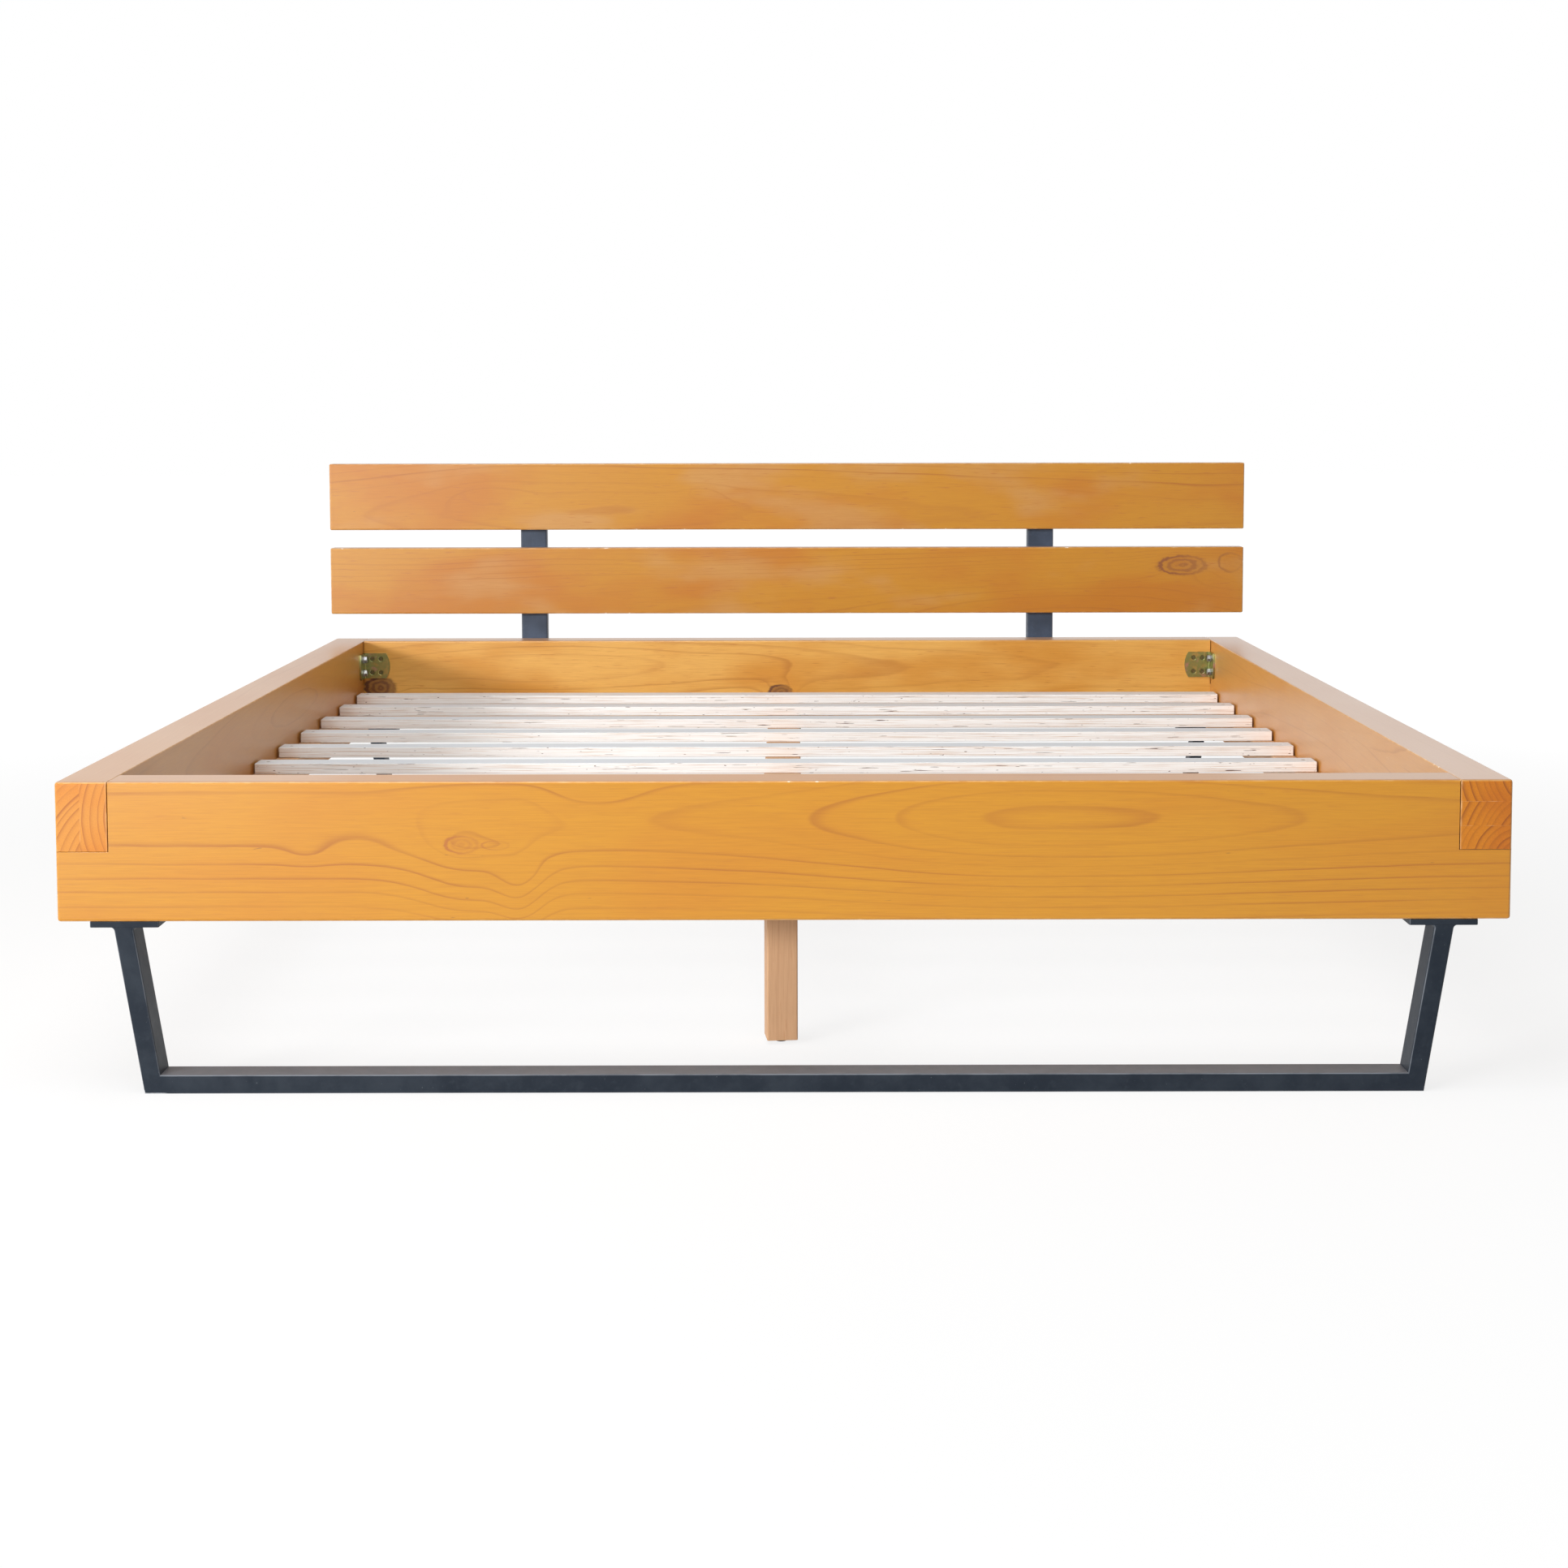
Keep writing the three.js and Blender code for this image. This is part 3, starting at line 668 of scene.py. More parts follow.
def beam_shoe(end):
    """A folded steel shoe: a back plate, a floor and two cheeks that hold the centre beam's end."""
    piece = block(f"{end}_shoe_steel", *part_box(f"{end}_beam_shoe"))
    choose(piece, "FACE", lambda face: facing_up(face) or face.normal.y * ENDS[end] > 0.9)
    bpy.ops.mesh.delete(type="FACE")
    done()
    round_off(piece, 4.2 * MM, lambda edge: not edge.is_boundary)
    thicken(piece, SHEET_STEEL)
    ease(piece, 0.3 * MM, segments=2)
    return piece


def centre_leg(end):
    """A square leg with a hole for its rod on top and for its glide's nail below."""
    node = f"{end}_centre_leg"
    low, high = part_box(node)
    half = LEG_SIDE / 2
    piece = block(f"{end}_leg_wood", (-half, -half, low.z), (half, half, high.z))
    ease(piece, LEG_ARRIS, lambda edge: 1.0 if upright(edge) else 0.5)
    bore(piece, (0, 0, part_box(f"{node}_rod")[0].z), (0, 0, high.z + MM), ROD_BORE, 32)
    bore(piece, (0, 0, low.z - MM), (0, 0, low.z + NAIL_HOLE_DEPTH), NAIL_HOLE, 20)
    x, y, _ = centre_of(node)
    piece.matrix_world = Matrix.Translation((x, y, 0)) @ Matrix.Rotation(LEG_TURN, 4, "Z")
    return fix_place(piece)


def leg_rod(end):
    """The threaded rod between the centre beam and a leg."""
    low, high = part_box(f"{end}_centre_leg_rod")
    x, y, _ = (low + high) / 2
    piece = screw_thread(f"{end}_leg_thread", ROD_DIAMETER, ROD_PITCH, high.z - low.z - ROD_PITCH)
    piece.location = (x, y, low.z)
    return fix_place(piece)


def leg_glide(end):
    """A nailed plastic glide, spun from its profile."""
    low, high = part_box(f"{end}_centre_leg_glide")
    x, y, _ = (low + high) / 2
    # Out along the sole, up round the rim, in over the top, and up the nail to its point.
    flat, height = GLIDE_RADIUS - GLIDE_RIM.x, GLIDE_HEIGHT
    swings = [math.pi / 8 * step for step in range(1, 5)]
    profile = [(0, 0), (flat, 0)]
    profile += [(flat + GLIDE_RIM.x * math.sin(t), GLIDE_RIM.y * (1 - math.cos(t))) for t in swings]
    profile += [(GLIDE_RADIUS, height - 0.6 * MM), (GLIDE_RADIUS - 0.4 * MM, height)]
    profile += [(4 * MM, height), (3.6 * MM, height - 0.3 * MM), (2 * MM, height - 0.3 * MM)]
    profile += [(NAIL_RADIUS, height), (NAIL_RADIUS, NAIL_TIP - 2 * MM), (0, NAIL_TIP)]
    piece = wire(f"{end}_leg_foot", [(x + r, y, low.z + z) for r, z in profile])
    choose(piece, "EDGE", all_of_it)
    bpy.ops.mesh.spin(steps=48, angle=2 * math.pi, center=(x, y, 0), axis=(0, 0, 1))
    bpy.ops.mesh.select_all(action="SELECT")
    bpy.ops.mesh.remove_doubles(threshold=0.01 * MM)
    face_outward()
    done()
    return piece


# ---------------------------------------------------------------- finishes


class Value:
    """A number that varies over a surface. Sums and products with it are worked out by nodes."""

    def __init__(self, nodes, socket):
        self.nodes = nodes
        self.socket = socket

    def __add__(self, other):
        return self.nodes.maths("ADD", self, other)

    def __sub__(self, other):
        return self.nodes.maths("SUBTRACT", self, other)

    def __rsub__(self, other):
        return self.nodes.maths("SUBTRACT", other, self)

    def __mul__(self, other):
        return self.nodes.maths("MULTIPLY", self, other)

    def __truediv__(self, other):
        return self.nodes.maths("DIVIDE", self, other)

    def __abs__(self):
        return self.nodes.maths("ABSOLUTE", self)

    def ramp(self, start, stop, low=0.0, high=1.0):
        """Goes softly from low to high as the value goes from start to stop."""
        return self.nodes.slope(self, start, stop, low, high, "SMOOTHSTEP")

    __radd__ = __add__
    __rmul__ = __mul__


class Nodes:
    """A node tree in the making: each node is added with its settings and joined up at once."""

    def __init__(self, tree):
        self.tree = tree

    def feed(self, socket, value):
        if isinstance(value, Value):
            value = value.socket
        if isinstance(value, bpy.types.NodeSocket):
            self.tree.links.new(value, socket)
        elif socket.type == "RGBA":
            socket.default_value = (*value, 1.0)
        else:
            socket.default_value = value

    def node(self, kind, values=None, **settings):
        """Adds a node and gives its outputs."""
        node = self.tree.nodes.new("ShaderNode" + kind)
        for setting, value in settings.items():
            setattr(node, setting, value)
        for socket, value in (values or {}).items():
            self.feed(node.inputs[socket], value)
        return node.outputs

    def maths(self, operation, *values):
        return Value(self, self.node("Math", dict(enumerate(values)), operation=operation)[0])

    def slope(self, value, start, stop, low, high, kind="LINEAR"):
        """Goes from low to high as the value goes from start to stop."""
        values = {"Value": value, "From Min": start, "From Max": stop, "To Min": low, "To Max": high}
        return Value(self, self.node("MapRange", values, interpolation_type=kind)["Result"])

    def split(self, vector):
        """The X, Y and Z of a vector."""
        parts = self.node("SeparateXYZ", {"Vector": vector})
        return {axis: Value(self, parts[axis]) for axis in "XYZ"}


class Finish(Nodes):
    """A finish being mixed for a new material."""

    SOCKETS = {
        "colour": "Base Color",
        "roughness": "Roughness",
        "metal": "Metallic",
        "gloss": "Specular IOR Level",
        "coat": "Coat Weight",
        "coat_roughness": "Coat Roughness",
        "haze": "Sheen Weight",
        "haze_roughness": "Sheen Roughness",
    }

    def __init__(self, name):
        self.material = bpy.data.materials.new(name)
        self.material.use_nodes = True
        super().__init__(self.material.node_tree)
        self.shader = self.tree.nodes["Principled BSDF"]
        surface = self.node("TexCoord")
        self.place = self.split(surface["Object"])
        self.facing = self.split(surface["Normal"])

    def noise_outputs(self, spot, scale=1.0, detail=2.0, rough=0.5):
        vector = self.node("CombineXYZ", dict(zip("XYZ", spot)))["Vector"]
        values = {"Vector": vector, "Scale": scale, "Detail": detail, "Roughness": rough}
        return self.node("TexNoise", values)

    def noise(self, spot, scale=1.0, detail=2.0, rough=0.5):
        """Cloudy noise between 0 and 1. The larger a spot's number on an axis, the finer it is there."""
        return Value(self, self.noise_outputs(spot, scale, detail, rough)["Fac"])

    def grain(self, spot, scales, detail=2.0, rough=0.5):
        """Noise that is stretched along the axes with the smaller scales."""
        return self.noise([part * scale for part, scale in zip(spot, scales)], 1.0, detail, rough)

    def lot(self, number):
        """A random value between 0 and 1 for each whole number."""
        return Value(self, self.node("TexWhiteNoise", {"W": number}, noise_dimensions="1D")["Value"])

    def blend(self, share, first, second):
        """Mixes two colours. The share is that of the second."""
        return self.node("Mix", {0: share, 6: first, 7: second}, data_type="RGBA")[2]

    def edge(self, box):
        """How near the nearest edge of a box is, on its surface: the middle one of three distances."""
        gaps = [
            (high - low) / 2 - abs(self.place[axis] - (low + high) / 2)
            for axis, low, high in zip("XYZ", *box)
        ]
        least = self.maths("MINIMUM", gaps[0], gaps[1])
        most = self.maths("MAXIMUM", gaps[0], gaps[1])
        return self.maths("MAXIMUM", least, self.maths("MINIMUM", most, gaps[2]))

    def finished(self, height, depth, strength, **looks):
        """Gives the shader its looks and its relief, and hands the material over."""
        for name, value in looks.items():
            self.feed(self.shader.inputs[self.SOCKETS[name]], value)
        values = {"Height": height, "Distance": depth, "Strength": strength}
        self.feed(self.shader.inputs["Normal"], self.node("Bump", values)["Normal"])
        return self.material


# stained and varnished pine
EARLYWOOD = (0.578, 0.250, 0.006)
LATEWOOD = (0.36, 0.106, 0.004)
HEARTWOOD = (0.555, 0.208, 0.004)
# painted sheen and shade for faces that look up
TOP_SHADE_AND_SHEEN = (0.40, 0.20, 0.10)
# pale of rubbed edges, which also stands for a painted highlight, and of glue lines
PALE_EDGE = (0.84, 0.56, 0.28)
BARE_NICK = (0.95, 0.86, 0.76)
END_EARLYWOOD = (0.62, 0.245, 0.027)
END_HEARTWOOD = (0.60, 0.190, 0.006)
END_LATEWOOD = (0.34, 0.085, 0.004)
KNOT_RED = (0.40, 0.120, 0.012)
KNOT_BROWN = (0.13, 0.045, 0.014)

# the headboard's two boards, the paler head rail, and the right rail with its redder end and with earlywood
# paled as a painted sheen
BOARD_EARLYWOOD = (0.520, 0.222, 0.007)
BOARD_HEARTWOOD = (0.480, 0.165, 0.002)
BOARD_BLUSH = (0.520, 0.268, 0.080)
BOARD_KNOT = (0.24, 0.070, 0.010)
PALE_EARLYWOOD = (0.74, 0.395, 0.085)
RIGHT_EARLYWOOD_WITH_SHEEN = (0.60, 0.270, 0.040)
RED_END_EARLYWOOD = (0.60, 0.195, 0.004)
RED_END_HEARTWOOD = (0.50, 0.130, 0.002)
RED_END_LATEWOOD = (0.22, 0.045, 0.002)

# unstained pine under the mattress
RAW_EARLYWOOD = (0.62, 0.38, 0.22)
RAW_HEARTWOOD = (0.50, 0.28, 0.14)
RAW_LATEWOOD = (0.36, 0.17, 0.075)
RAW_END_HEARTWOOD = (0.42, 0.22, 0.11)
RAW_END_LATEWOOD = (0.26, 0.12, 0.05)

# pressed slats
SLAT_CREAM = (0.89, 0.865, 0.84)
SLAT_TAN = (0.62, 0.44, 0.32)
SLAT_GLUE = (0.30, 0.16, 0.09)
# blue-grey: a painted reflection on the slats' broad faces
SLAT_FACE_PAINTED_REFLECTION = (0.76, 0.80, 0.84)
SLAT_GAP_BROWN = (0.10, 0.035, 0.012)
SLAT_LAYERS = 9

# painted steel
# a painted sheen for steel faces that look up
STEEL_TOP_SHEEN = (0.185, 0.185, 0.200)
DUST = (0.35, 0.36, 0.37)
# a greyer rubbed coat that also stands for a painted edge highlight
RUBBED_PAINT_AND_HIGHLIGHT = (0.20, 0.22, 0.25)
BARE_STEEL = (0.55, 0.57, 0.60)
WORN_CORNER_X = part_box("foot_skid_floor_bar")[0].x + 26 * MM

# A knot of at least this darkness is dead wood with weak rings. Paler ones show their rings.
DEAD_KNOT = 0.88


def sway(finish, run, deep, tall, wander):
    """A trunk is never quite straight: the depth and height of a point, measured from its run."""
    slow = finish.noise_outputs((run * 1.6, deep * 5.0, tall * 6.0))
    bend = finish.node("SeparateColor", {"Color": slow["Color"]})
    quick = finish.grain((run, deep, tall), (9, 45, 45))
    wobble = (quick - 0.5) * (1.2 * MM + 2.4 * MM * wander)
    swing = 26 * MM * wander
    return (
        deep + (Value(finish, bend["Red"]) - 0.5) * swing + wobble,
        tall + (Value(finish, bend["Green"]) - 0.5) * swing + wobble,
    )


def fall_away(finish, run, crest, arch, lean, bow, settle):
    """How far the heart has sunk from where it comes nearest, which is at the crest."""
    off = run - crest
    off = off * (1.0 - off * lean)
    reach = finish.maths("POWER", abs(off), bow)
    return (reach * arch) / (reach * settle + 1.0)


def growth(finish, radius, ring, spread, start, uneven, seed):
    """Year rings of uneven width: the narrow dark latewood of each, and the wide band before it."""
    count = radius * (1.0 - radius * spread) * (1 / ring) + start
    lean_years = finish.noise((count * 0.55, seed, 0.0), detail=1.0)
    count = count + (lean_years - 0.5) * uneven
    own = finish.lot(finish.maths("FLOOR", count) + seed)
    season = finish.maths("FRACT", count)
    rise = season.ramp(0.62, 0.93)
    fall = season.ramp(0.93, 1.0, 1.0, 0.0)
    latewood = rise * rise * rise * fall * own.ramp(0.1, 0.9, 0.22, 1.0)
    band = season.ramp(0.15, 0.93) * fall * own.ramp(0.0, 0.8, 0.6, 1.0)
    return latewood, band


def mark_knots(finish, colour, cores, curl, stain_colour):
    """Stains the dark knots: a body with rings, and a rim that is darkest on one side."""
    for core, side, dark in cores:
        ragged = core + (curl - 0.5) * 0.42
        rings = finish.maths("SINE", ragged * 17.0)
        body = ragged.ramp(0.55, 1.05, min(1.0, 1.4 * dark**4), 0.0)
        rim = abs(ragged - 0.85).ramp(0.0, 0.22, 1.0, 0.0) * side.ramp(-0.7, 0.6, 1.0, 0.30)
        least = 0.78 if dark > DEAD_KNOT else 0.35
        stain = (body + rim) * rings.ramp(-1.0, 1.0, least, 1.0)
        colour = finish.blend(finish.maths("MINIMUM", stain * dark, 1.0), colour, stain_colour)
    return colour


def pine(
    name, box, along, pith, crest=0.0, arch=0.12, lean=0.3, bow=2.0, settle=2.4, wander=1.0,
    ring=8.7 * MM, spread=0.0, start=0.0, uneven=1.6, seed=0.0, knots=(), layers=(), line=0.8,
    cloud=0.25, dashes=0.22, blush=0.0, top_shade_and_sheen=0.55, edge_wear_and_highlight=0.5, early=EARLYWOOD, late=LATEWOOD,
    heart=HEARTWOOD, knot=KNOT_RED, end_early=END_EARLYWOOD, end_heart=END_HEARTWOOD,
    end_late=END_LATEWOOD, rough=0.40, gloss=0.35, coat=0.65, haze=0.05,
):
    """Pine with its year rings. The trunk runs along one axis, and pith is its heart on the other two.

    crest is where the heart comes nearest, and arch, bow, lean and settle how it falls away from there.
    spread makes the outer rings wider, and start is the part of a year the first ring begins with.
    line, cloud, dashes, blush, top_shade_and_sheen (painted sheen and shade on faces that look up) and
    edge_wear_and_highlight (rubbed wear with a painted highlight) say how strongly each of these marks shows.
    Each knot is (place along, place up, half length, half height, push on the rings, darkness).
    Each layer glued on is (the way it lies from the last, where its glue line is, its own pith).
    """
    finish = Finish(name)
    x, y, z = (finish.place[axis] for axis in "XYZ")
    run, deep, tall = {"X": (x, y, z), "Y": (y, x, z), "Z": (z, x, y)}[along]
    shifted = run + seed
    depth, height = sway(finish, shifted, deep, tall, wander)

    # each glued layer comes from its own trunk
    heart_deep, heart_tall = pith
    glue = 0.0
    for way, seam, layer_pith in layers:
        measured = tall if way == "up" else deep
        beyond = finish.maths("GREATER_THAN", measured, seam)
        heart_deep = beyond * (layer_pith[0] - pith[0]) + heart_deep
        heart_tall = beyond * (layer_pith[1] - pith[1]) + heart_tall
        pith = layer_pith
        glue = abs(measured - seam).ramp(0.2 * MM, 0.6 * MM, 1.0, 0.0) + glue

    # the distance from the heart, pushed out of the way by knots
    outward = depth - heart_deep - fall_away(finish, run, crest, arch, lean, bow, settle)
    aside = height - heart_tall
    radius = finish.maths("SQRT", outward * outward + aside * aside)
    cores = []
    for knot_run, knot_tall, half_run, half_tall, push, dark in knots:
        off_run = (run - knot_run) * (1 / half_run)
        off_tall = (height - knot_tall) * (1 / half_tall)
        off = off_run * off_run + off_tall * off_tall
        radius = radius - finish.maths("EXPONENT", off * -0.5) * push
        if dark:
            cores.append((finish.maths("SQRT", off), off_run, dark))

    # rings, fibres, clouds and small pitch flecks
    latewood, band = growth(finish, radius, ring, spread, start, uneven, seed)
    spot = (shifted, deep, tall)
    patchy = finish.grain(spot, (4, 12, 14), detail=3.0)
    latewood = latewood * patchy.ramp(0.3, 0.7, 0.35 * line, line)
    fibre = finish.grain(spot, (14, 620, 620), detail=3.0, rough=0.6)
    thread = finish.grain(spot, (34, 1300, 1300), detail=1.0)
    dash = finish.grain(spot, (26, 330, 520), detail=1.0)
    clouds = finish.grain(spot, (2.6, 6, 7), detail=3.0)
    fleck = finish.grain(spot, (42, 210, 240), detail=1.0)
    fibre_lines = fibre.ramp(0.35, 0.75, 0.0, 0.20)
    colour = finish.blend(clouds.ramp(0.42, 0.68, 0.0, cloud * 2.4), early, heart)
    if blush:
        flush = finish.grain((shifted, deep, height), (3.4, 9, 9), detail=3.0)
        colour = finish.blend(flush.ramp(0.50, 0.68, 0.0, blush), colour, BOARD_BLUSH)
    colour = finish.blend(latewood, colour, late)
    colour = finish.blend(fibre_lines, colour, late)
    colour = finish.blend(thread.ramp(0.40, 0.80, 0.0, 0.16), colour, late)
    colour = finish.blend(dash.ramp(0.66, 0.78, 0.0, dashes), colour, KNOT_RED)

    # sawn ends drink more stain, and faces that look up get a painted sheen and shade
    sawn = abs(finish.facing[along]).ramp(0.8, 0.95)
    soaked = finish.blend(clouds.ramp(0.40, 0.62), end_early, end_heart)
    soaked = finish.blend(band * band * 0.62, soaked, end_late)
    soaked = finish.blend(finish.maths("MINIMUM", latewood * 1.4, 0.6), soaked, end_late)
    soaked = finish.blend(fibre_lines, soaked, end_late)
    colour = finish.blend(sawn, colour, soaked)
    if top_shade_and_sheen:
        colour = finish.blend(finish.facing["Z"].ramp(0.6, 0.95) * top_shade_and_sheen, colour, TOP_SHADE_AND_SHEEN)
    colour = finish.blend(fleck.ramp(0.80, 0.86, 0.0, 0.5), colour, KNOT_BROWN)
    if cores:
        curl = finish.grain((run, deep, tall), (60, 60, 130), detail=3.0, rough=0.6)
        colour = mark_knots(finish, colour, cores, curl, knot)

    # rubbed edges that also carry a painted highlight, nicks and glue lines
    edge = finish.edge(box)
    chip = finish.noise((x, y, z), 55.0, detail=4.0)
    worn_and_highlit = edge.ramp(0.8 * MM, 2.8 * MM, 1.0, 0.0) * chip.ramp(0.42, 0.68, 0.25, 1.0)
    colour = finish.blend(worn_and_highlit * edge_wear_and_highlight, colour, PALE_EDGE)
    nick = edge.ramp(1.0 * MM, 2.4 * MM, 1.0, 0.0) * chip.ramp(0.69, 0.73)
    colour = finish.blend(nick, colour, BARE_NICK)
    if layers:
        colour = finish.blend(glue * chip.ramp(0.4, 0.7, 0.0, 0.30), colour, PALE_EDGE)

    return finish.finished(
        height=fibre * 0.35 + latewood * -0.45 + nick * -1.5, depth=0.12 * MM, strength=0.6,
        colour=colour,
        roughness=(clouds - 0.5) * 0.16 + rough + latewood * 0.10,
        gloss=gloss,
        coat=(1.0 - sawn * 0.7) * coat if coat else 0.0,
        coat_roughness=0.30, haze=haze, haze_roughness=0.28,
    )


RAIL_WOOD = {
    "foot": pine(
        "foot_rail_pine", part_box("foot_rail"), "X", pith=(-1.034, 0.376), crest=0.376, arch=0.46,
        lean=0.667, bow=2.48, settle=13.6, wander=0.10, ring=6.5 * MM, spread=2.0, start=-0.3,
        uneven=0.15, seed=3.1, line=0.72,
        knots=(
            (-0.434, 0.341, 0.026, 0.014, 8 * MM, 0.78),
            (-0.388, 0.340, 0.022, 0.007, 6 * MM, 0.60),
            (-0.415, 0.355, 0.070, 0.045, 9 * MM, 0.0),
            (-0.345, 0.400, 0.024, 0.018, 3 * MM, 0.0),
            (-0.352, 0.300, 0.026, 0.016, 8 * MM, 0.0),
            (-0.430, 0.262, 0.050, 0.040, 19 * MM, 0.0),
            (-0.355, 0.252, 0.026, 0.040, 23 * MM, 0.0),
            (-0.643, 0.328, 0.024, 0.011, 5 * MM, 0.0),
            (-0.560, 0.365, 0.050, 0.025, -6 * MM, 0.0),
            (-0.250, 0.410, 0.050, 0.020, -9 * MM, 0.0),
        ),
    ),
    "head": pine(
        "head_rail_pine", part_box("head_rail"), "X", pith=(1.050, 0.370), crest=-0.52, arch=0.16,
        wander=0.9, ring=11 * MM, seed=7.7, line=0.55, cloud=0.3, dashes=0.5, early=PALE_EARLYWOOD,
        knot=KNOT_BROWN,
        knots=(
            (-0.874, 0.325, 0.036, 0.026, 24 * MM, 0.95),
            (-0.790, 0.345, 0.050, 0.030, 8 * MM, 0.0),
            (-0.014, 0.315, 0.028, 0.018, 24 * MM, 0.9),
            (-0.072, 0.362, 0.060, 0.024, 7 * MM, 0.0),
        ),
    ),
    "left": pine(
        "left_rail_pine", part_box("left_side_rail"), "Y", pith=(-0.885, 0.285), crest=0.2, arch=0.10,
        wander=0.3, ring=9 * MM, seed=12.3, line=0.45,
        layers=(("across", -0.9465, (-0.835, 0.375)),),
    ),
    # the right rail's paler earlywood stands for a painted sheen
    "right": pine(
        "right_rail_pine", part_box("right_side_rail"), "Y", pith=(0.955, 0.315), crest=-0.1, arch=0.10,
        wander=0.5, ring=9 * MM, seed=18.9, line=0.5, coat=0.9, early=RIGHT_EARLYWOOD_WITH_SHEEN,
        end_early=RED_END_EARLYWOOD, end_heart=RED_END_HEARTWOOD, end_late=RED_END_LATEWOOD,
        layers=(("up", 0.3645, (0.985, 0.335)), ("up", 0.3975, (0.990, 0.445))),
    ),
}


def board_pine(board, **growth_and_knots):
    """The stained pine of a headboard board, blotchier than that of the rails."""
    return pine(
        f"{board}_board_pine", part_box(f"{board}_headboard_board"), "X", cloud=0.5, dashes=0.75,
        blush=0.6, early=BOARD_EARLYWOOD, heart=BOARD_HEARTWOOD, **growth_and_knots,
    )


BOARD_WOOD = {
    "lower": board_pine(
        "lower", pith=(1.10, 0.47), crest=0.6, arch=0.10, ring=9 * MM, seed=23.5, line=0.55,
        knot=BOARD_KNOT,
        knots=(
            (0.852, 0.584, 0.060, 0.023, 26 * MM, 0.87),
            (0.955, 0.590, 0.030, 0.022, 12 * MM, 0.55),
            (0.760, 0.560, 0.10, 0.030, 6 * MM, 0.0),
        ),
    ),
    "upper": board_pine(
        "upper", pith=(1.10, 0.70), crest=-0.4, arch=0.14, ring=13 * MM, seed=31.8, line=1.0,
        knots=(
            (-0.645, 0.739, 0.062, 0.026, 14 * MM, 0.22),
            (-0.18, 0.739, 0.035, 0.018, 9 * MM, 0.15),
        ),
    ),
}


def plain_pine(name, node, along, pith, seed):
    """Clear-lacquered pine, as on the legs and the bearers, paler than the rails."""
    return pine(
        name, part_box(node), along, pith, arch=0.10, wander=0.5, ring=6 * MM, seed=seed, line=0.5,
        cloud=0.12, top_shade_and_sheen=0.0, edge_wear_and_highlight=0.25, early=RAW_EARLYWOOD, late=RAW_LATEWOOD,
        heart=RAW_HEARTWOOD, end_early=RAW_HEARTWOOD, end_heart=RAW_END_HEARTWOOD,
        end_late=RAW_END_LATEWOOD, rough=0.58, gloss=0.15, coat=0.0, haze=0.0,
    )


CARRIER_WOOD = {
    "left": plain_pine("left_ledger_pine", "left_slat_ledger", "Y", (-0.93, 0.24), 41.0),
    "right": plain_pine("right_ledger_pine", "right_slat_ledger", "Y", (0.85, 0.33), 44.0),
    "beam": plain_pine("centre_beam_pine", "centre_beam", "Y", (0.06, 0.21), 47.0),
}


def leg_pine(end, seed):
    """The pine of a centre leg, whose heart lies behind the leg."""
    node = f"{end}_centre_leg"
    return plain_pine(f"{end}_leg_pine", node, "Z", (0.07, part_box(node)[0].y + 90 * MM), seed)


LEG_WOOD = {"foot": leg_pine("foot", 53.0), "head": leg_pine("head", 57.0)}


def slat_veneer(number):
    """A slat pressed from thin veneers: their edges and small gaps show on its sides."""
    finish = Finish(f"slat_{number:02d}_veneer")
    x, y, z = (finish.place[axis] for axis in "XYZ")
    seed = 3.7 * number
    shifted = x + seed
    low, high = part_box(f"slat_{number:02d}")
    layer = (high.z - low.z) / SLAT_LAYERS
    sway_of_layers = finish.noise((shifted * 5.0, seed, z * 60.0))
    height = z + (sway_of_layers - 0.5) * (1.6 * MM)
    count = (height - low.z) * (1 / layer)
    own = finish.lot(finish.maths("FLOOR", count) + seed)
    spot = (shifted, y, height)
    streak = finish.grain(spot, (9, 160, 900), detail=3.0, rough=0.65)
    long_streak = finish.grain(spot, (2.2, 40, 420))
    gap = finish.grain(spot, (17, 90, 520))
    speck = finish.grain(spot, (95, 260, 520), detail=1.0)
    seam = abs(finish.maths("FRACT", count) - 0.5).ramp(0.38, 0.5)
    seam = seam * long_streak.ramp(0.42, 0.66)
    colour = finish.blend(own.ramp(0.5, 1.0, 0.0, 0.30), SLAT_CREAM, SLAT_TAN)
    colour = finish.blend(streak.ramp(0.50, 0.70, 0.0, 0.85), colour, SLAT_TAN)
    colour = finish.blend(seam * 0.95, colour, SLAT_GLUE)
    colour = finish.blend(gap.ramp(0.69, 0.715), colour, SLAT_GAP_BROWN)
    colour = finish.blend(speck.ramp(0.75, 0.775), colour, SLAT_GAP_BROWN)

    # the broad faces show one whole sheet, tinted blue-grey as a painted reflection of the white room
    figure = finish.noise((shifted * 6.0, y * 190.0, seed), detail=3.0, rough=0.6)
    face = finish.blend(figure.ramp(0.4, 0.75, 0.0, 0.4), SLAT_FACE_PAINTED_REFLECTION, SLAT_CREAM)
    colour = finish.blend(abs(finish.facing["Z"]).ramp(0.75, 0.95), colour, face)
    return finish.finished(
        height=streak + gap.ramp(0.73, 0.77) * -2.0,
        depth=0.15 * MM, strength=0.7, colour=colour,
        roughness=streak.ramp(0.2, 0.8, 0.55, 0.75),
        gloss=0.35,
    )


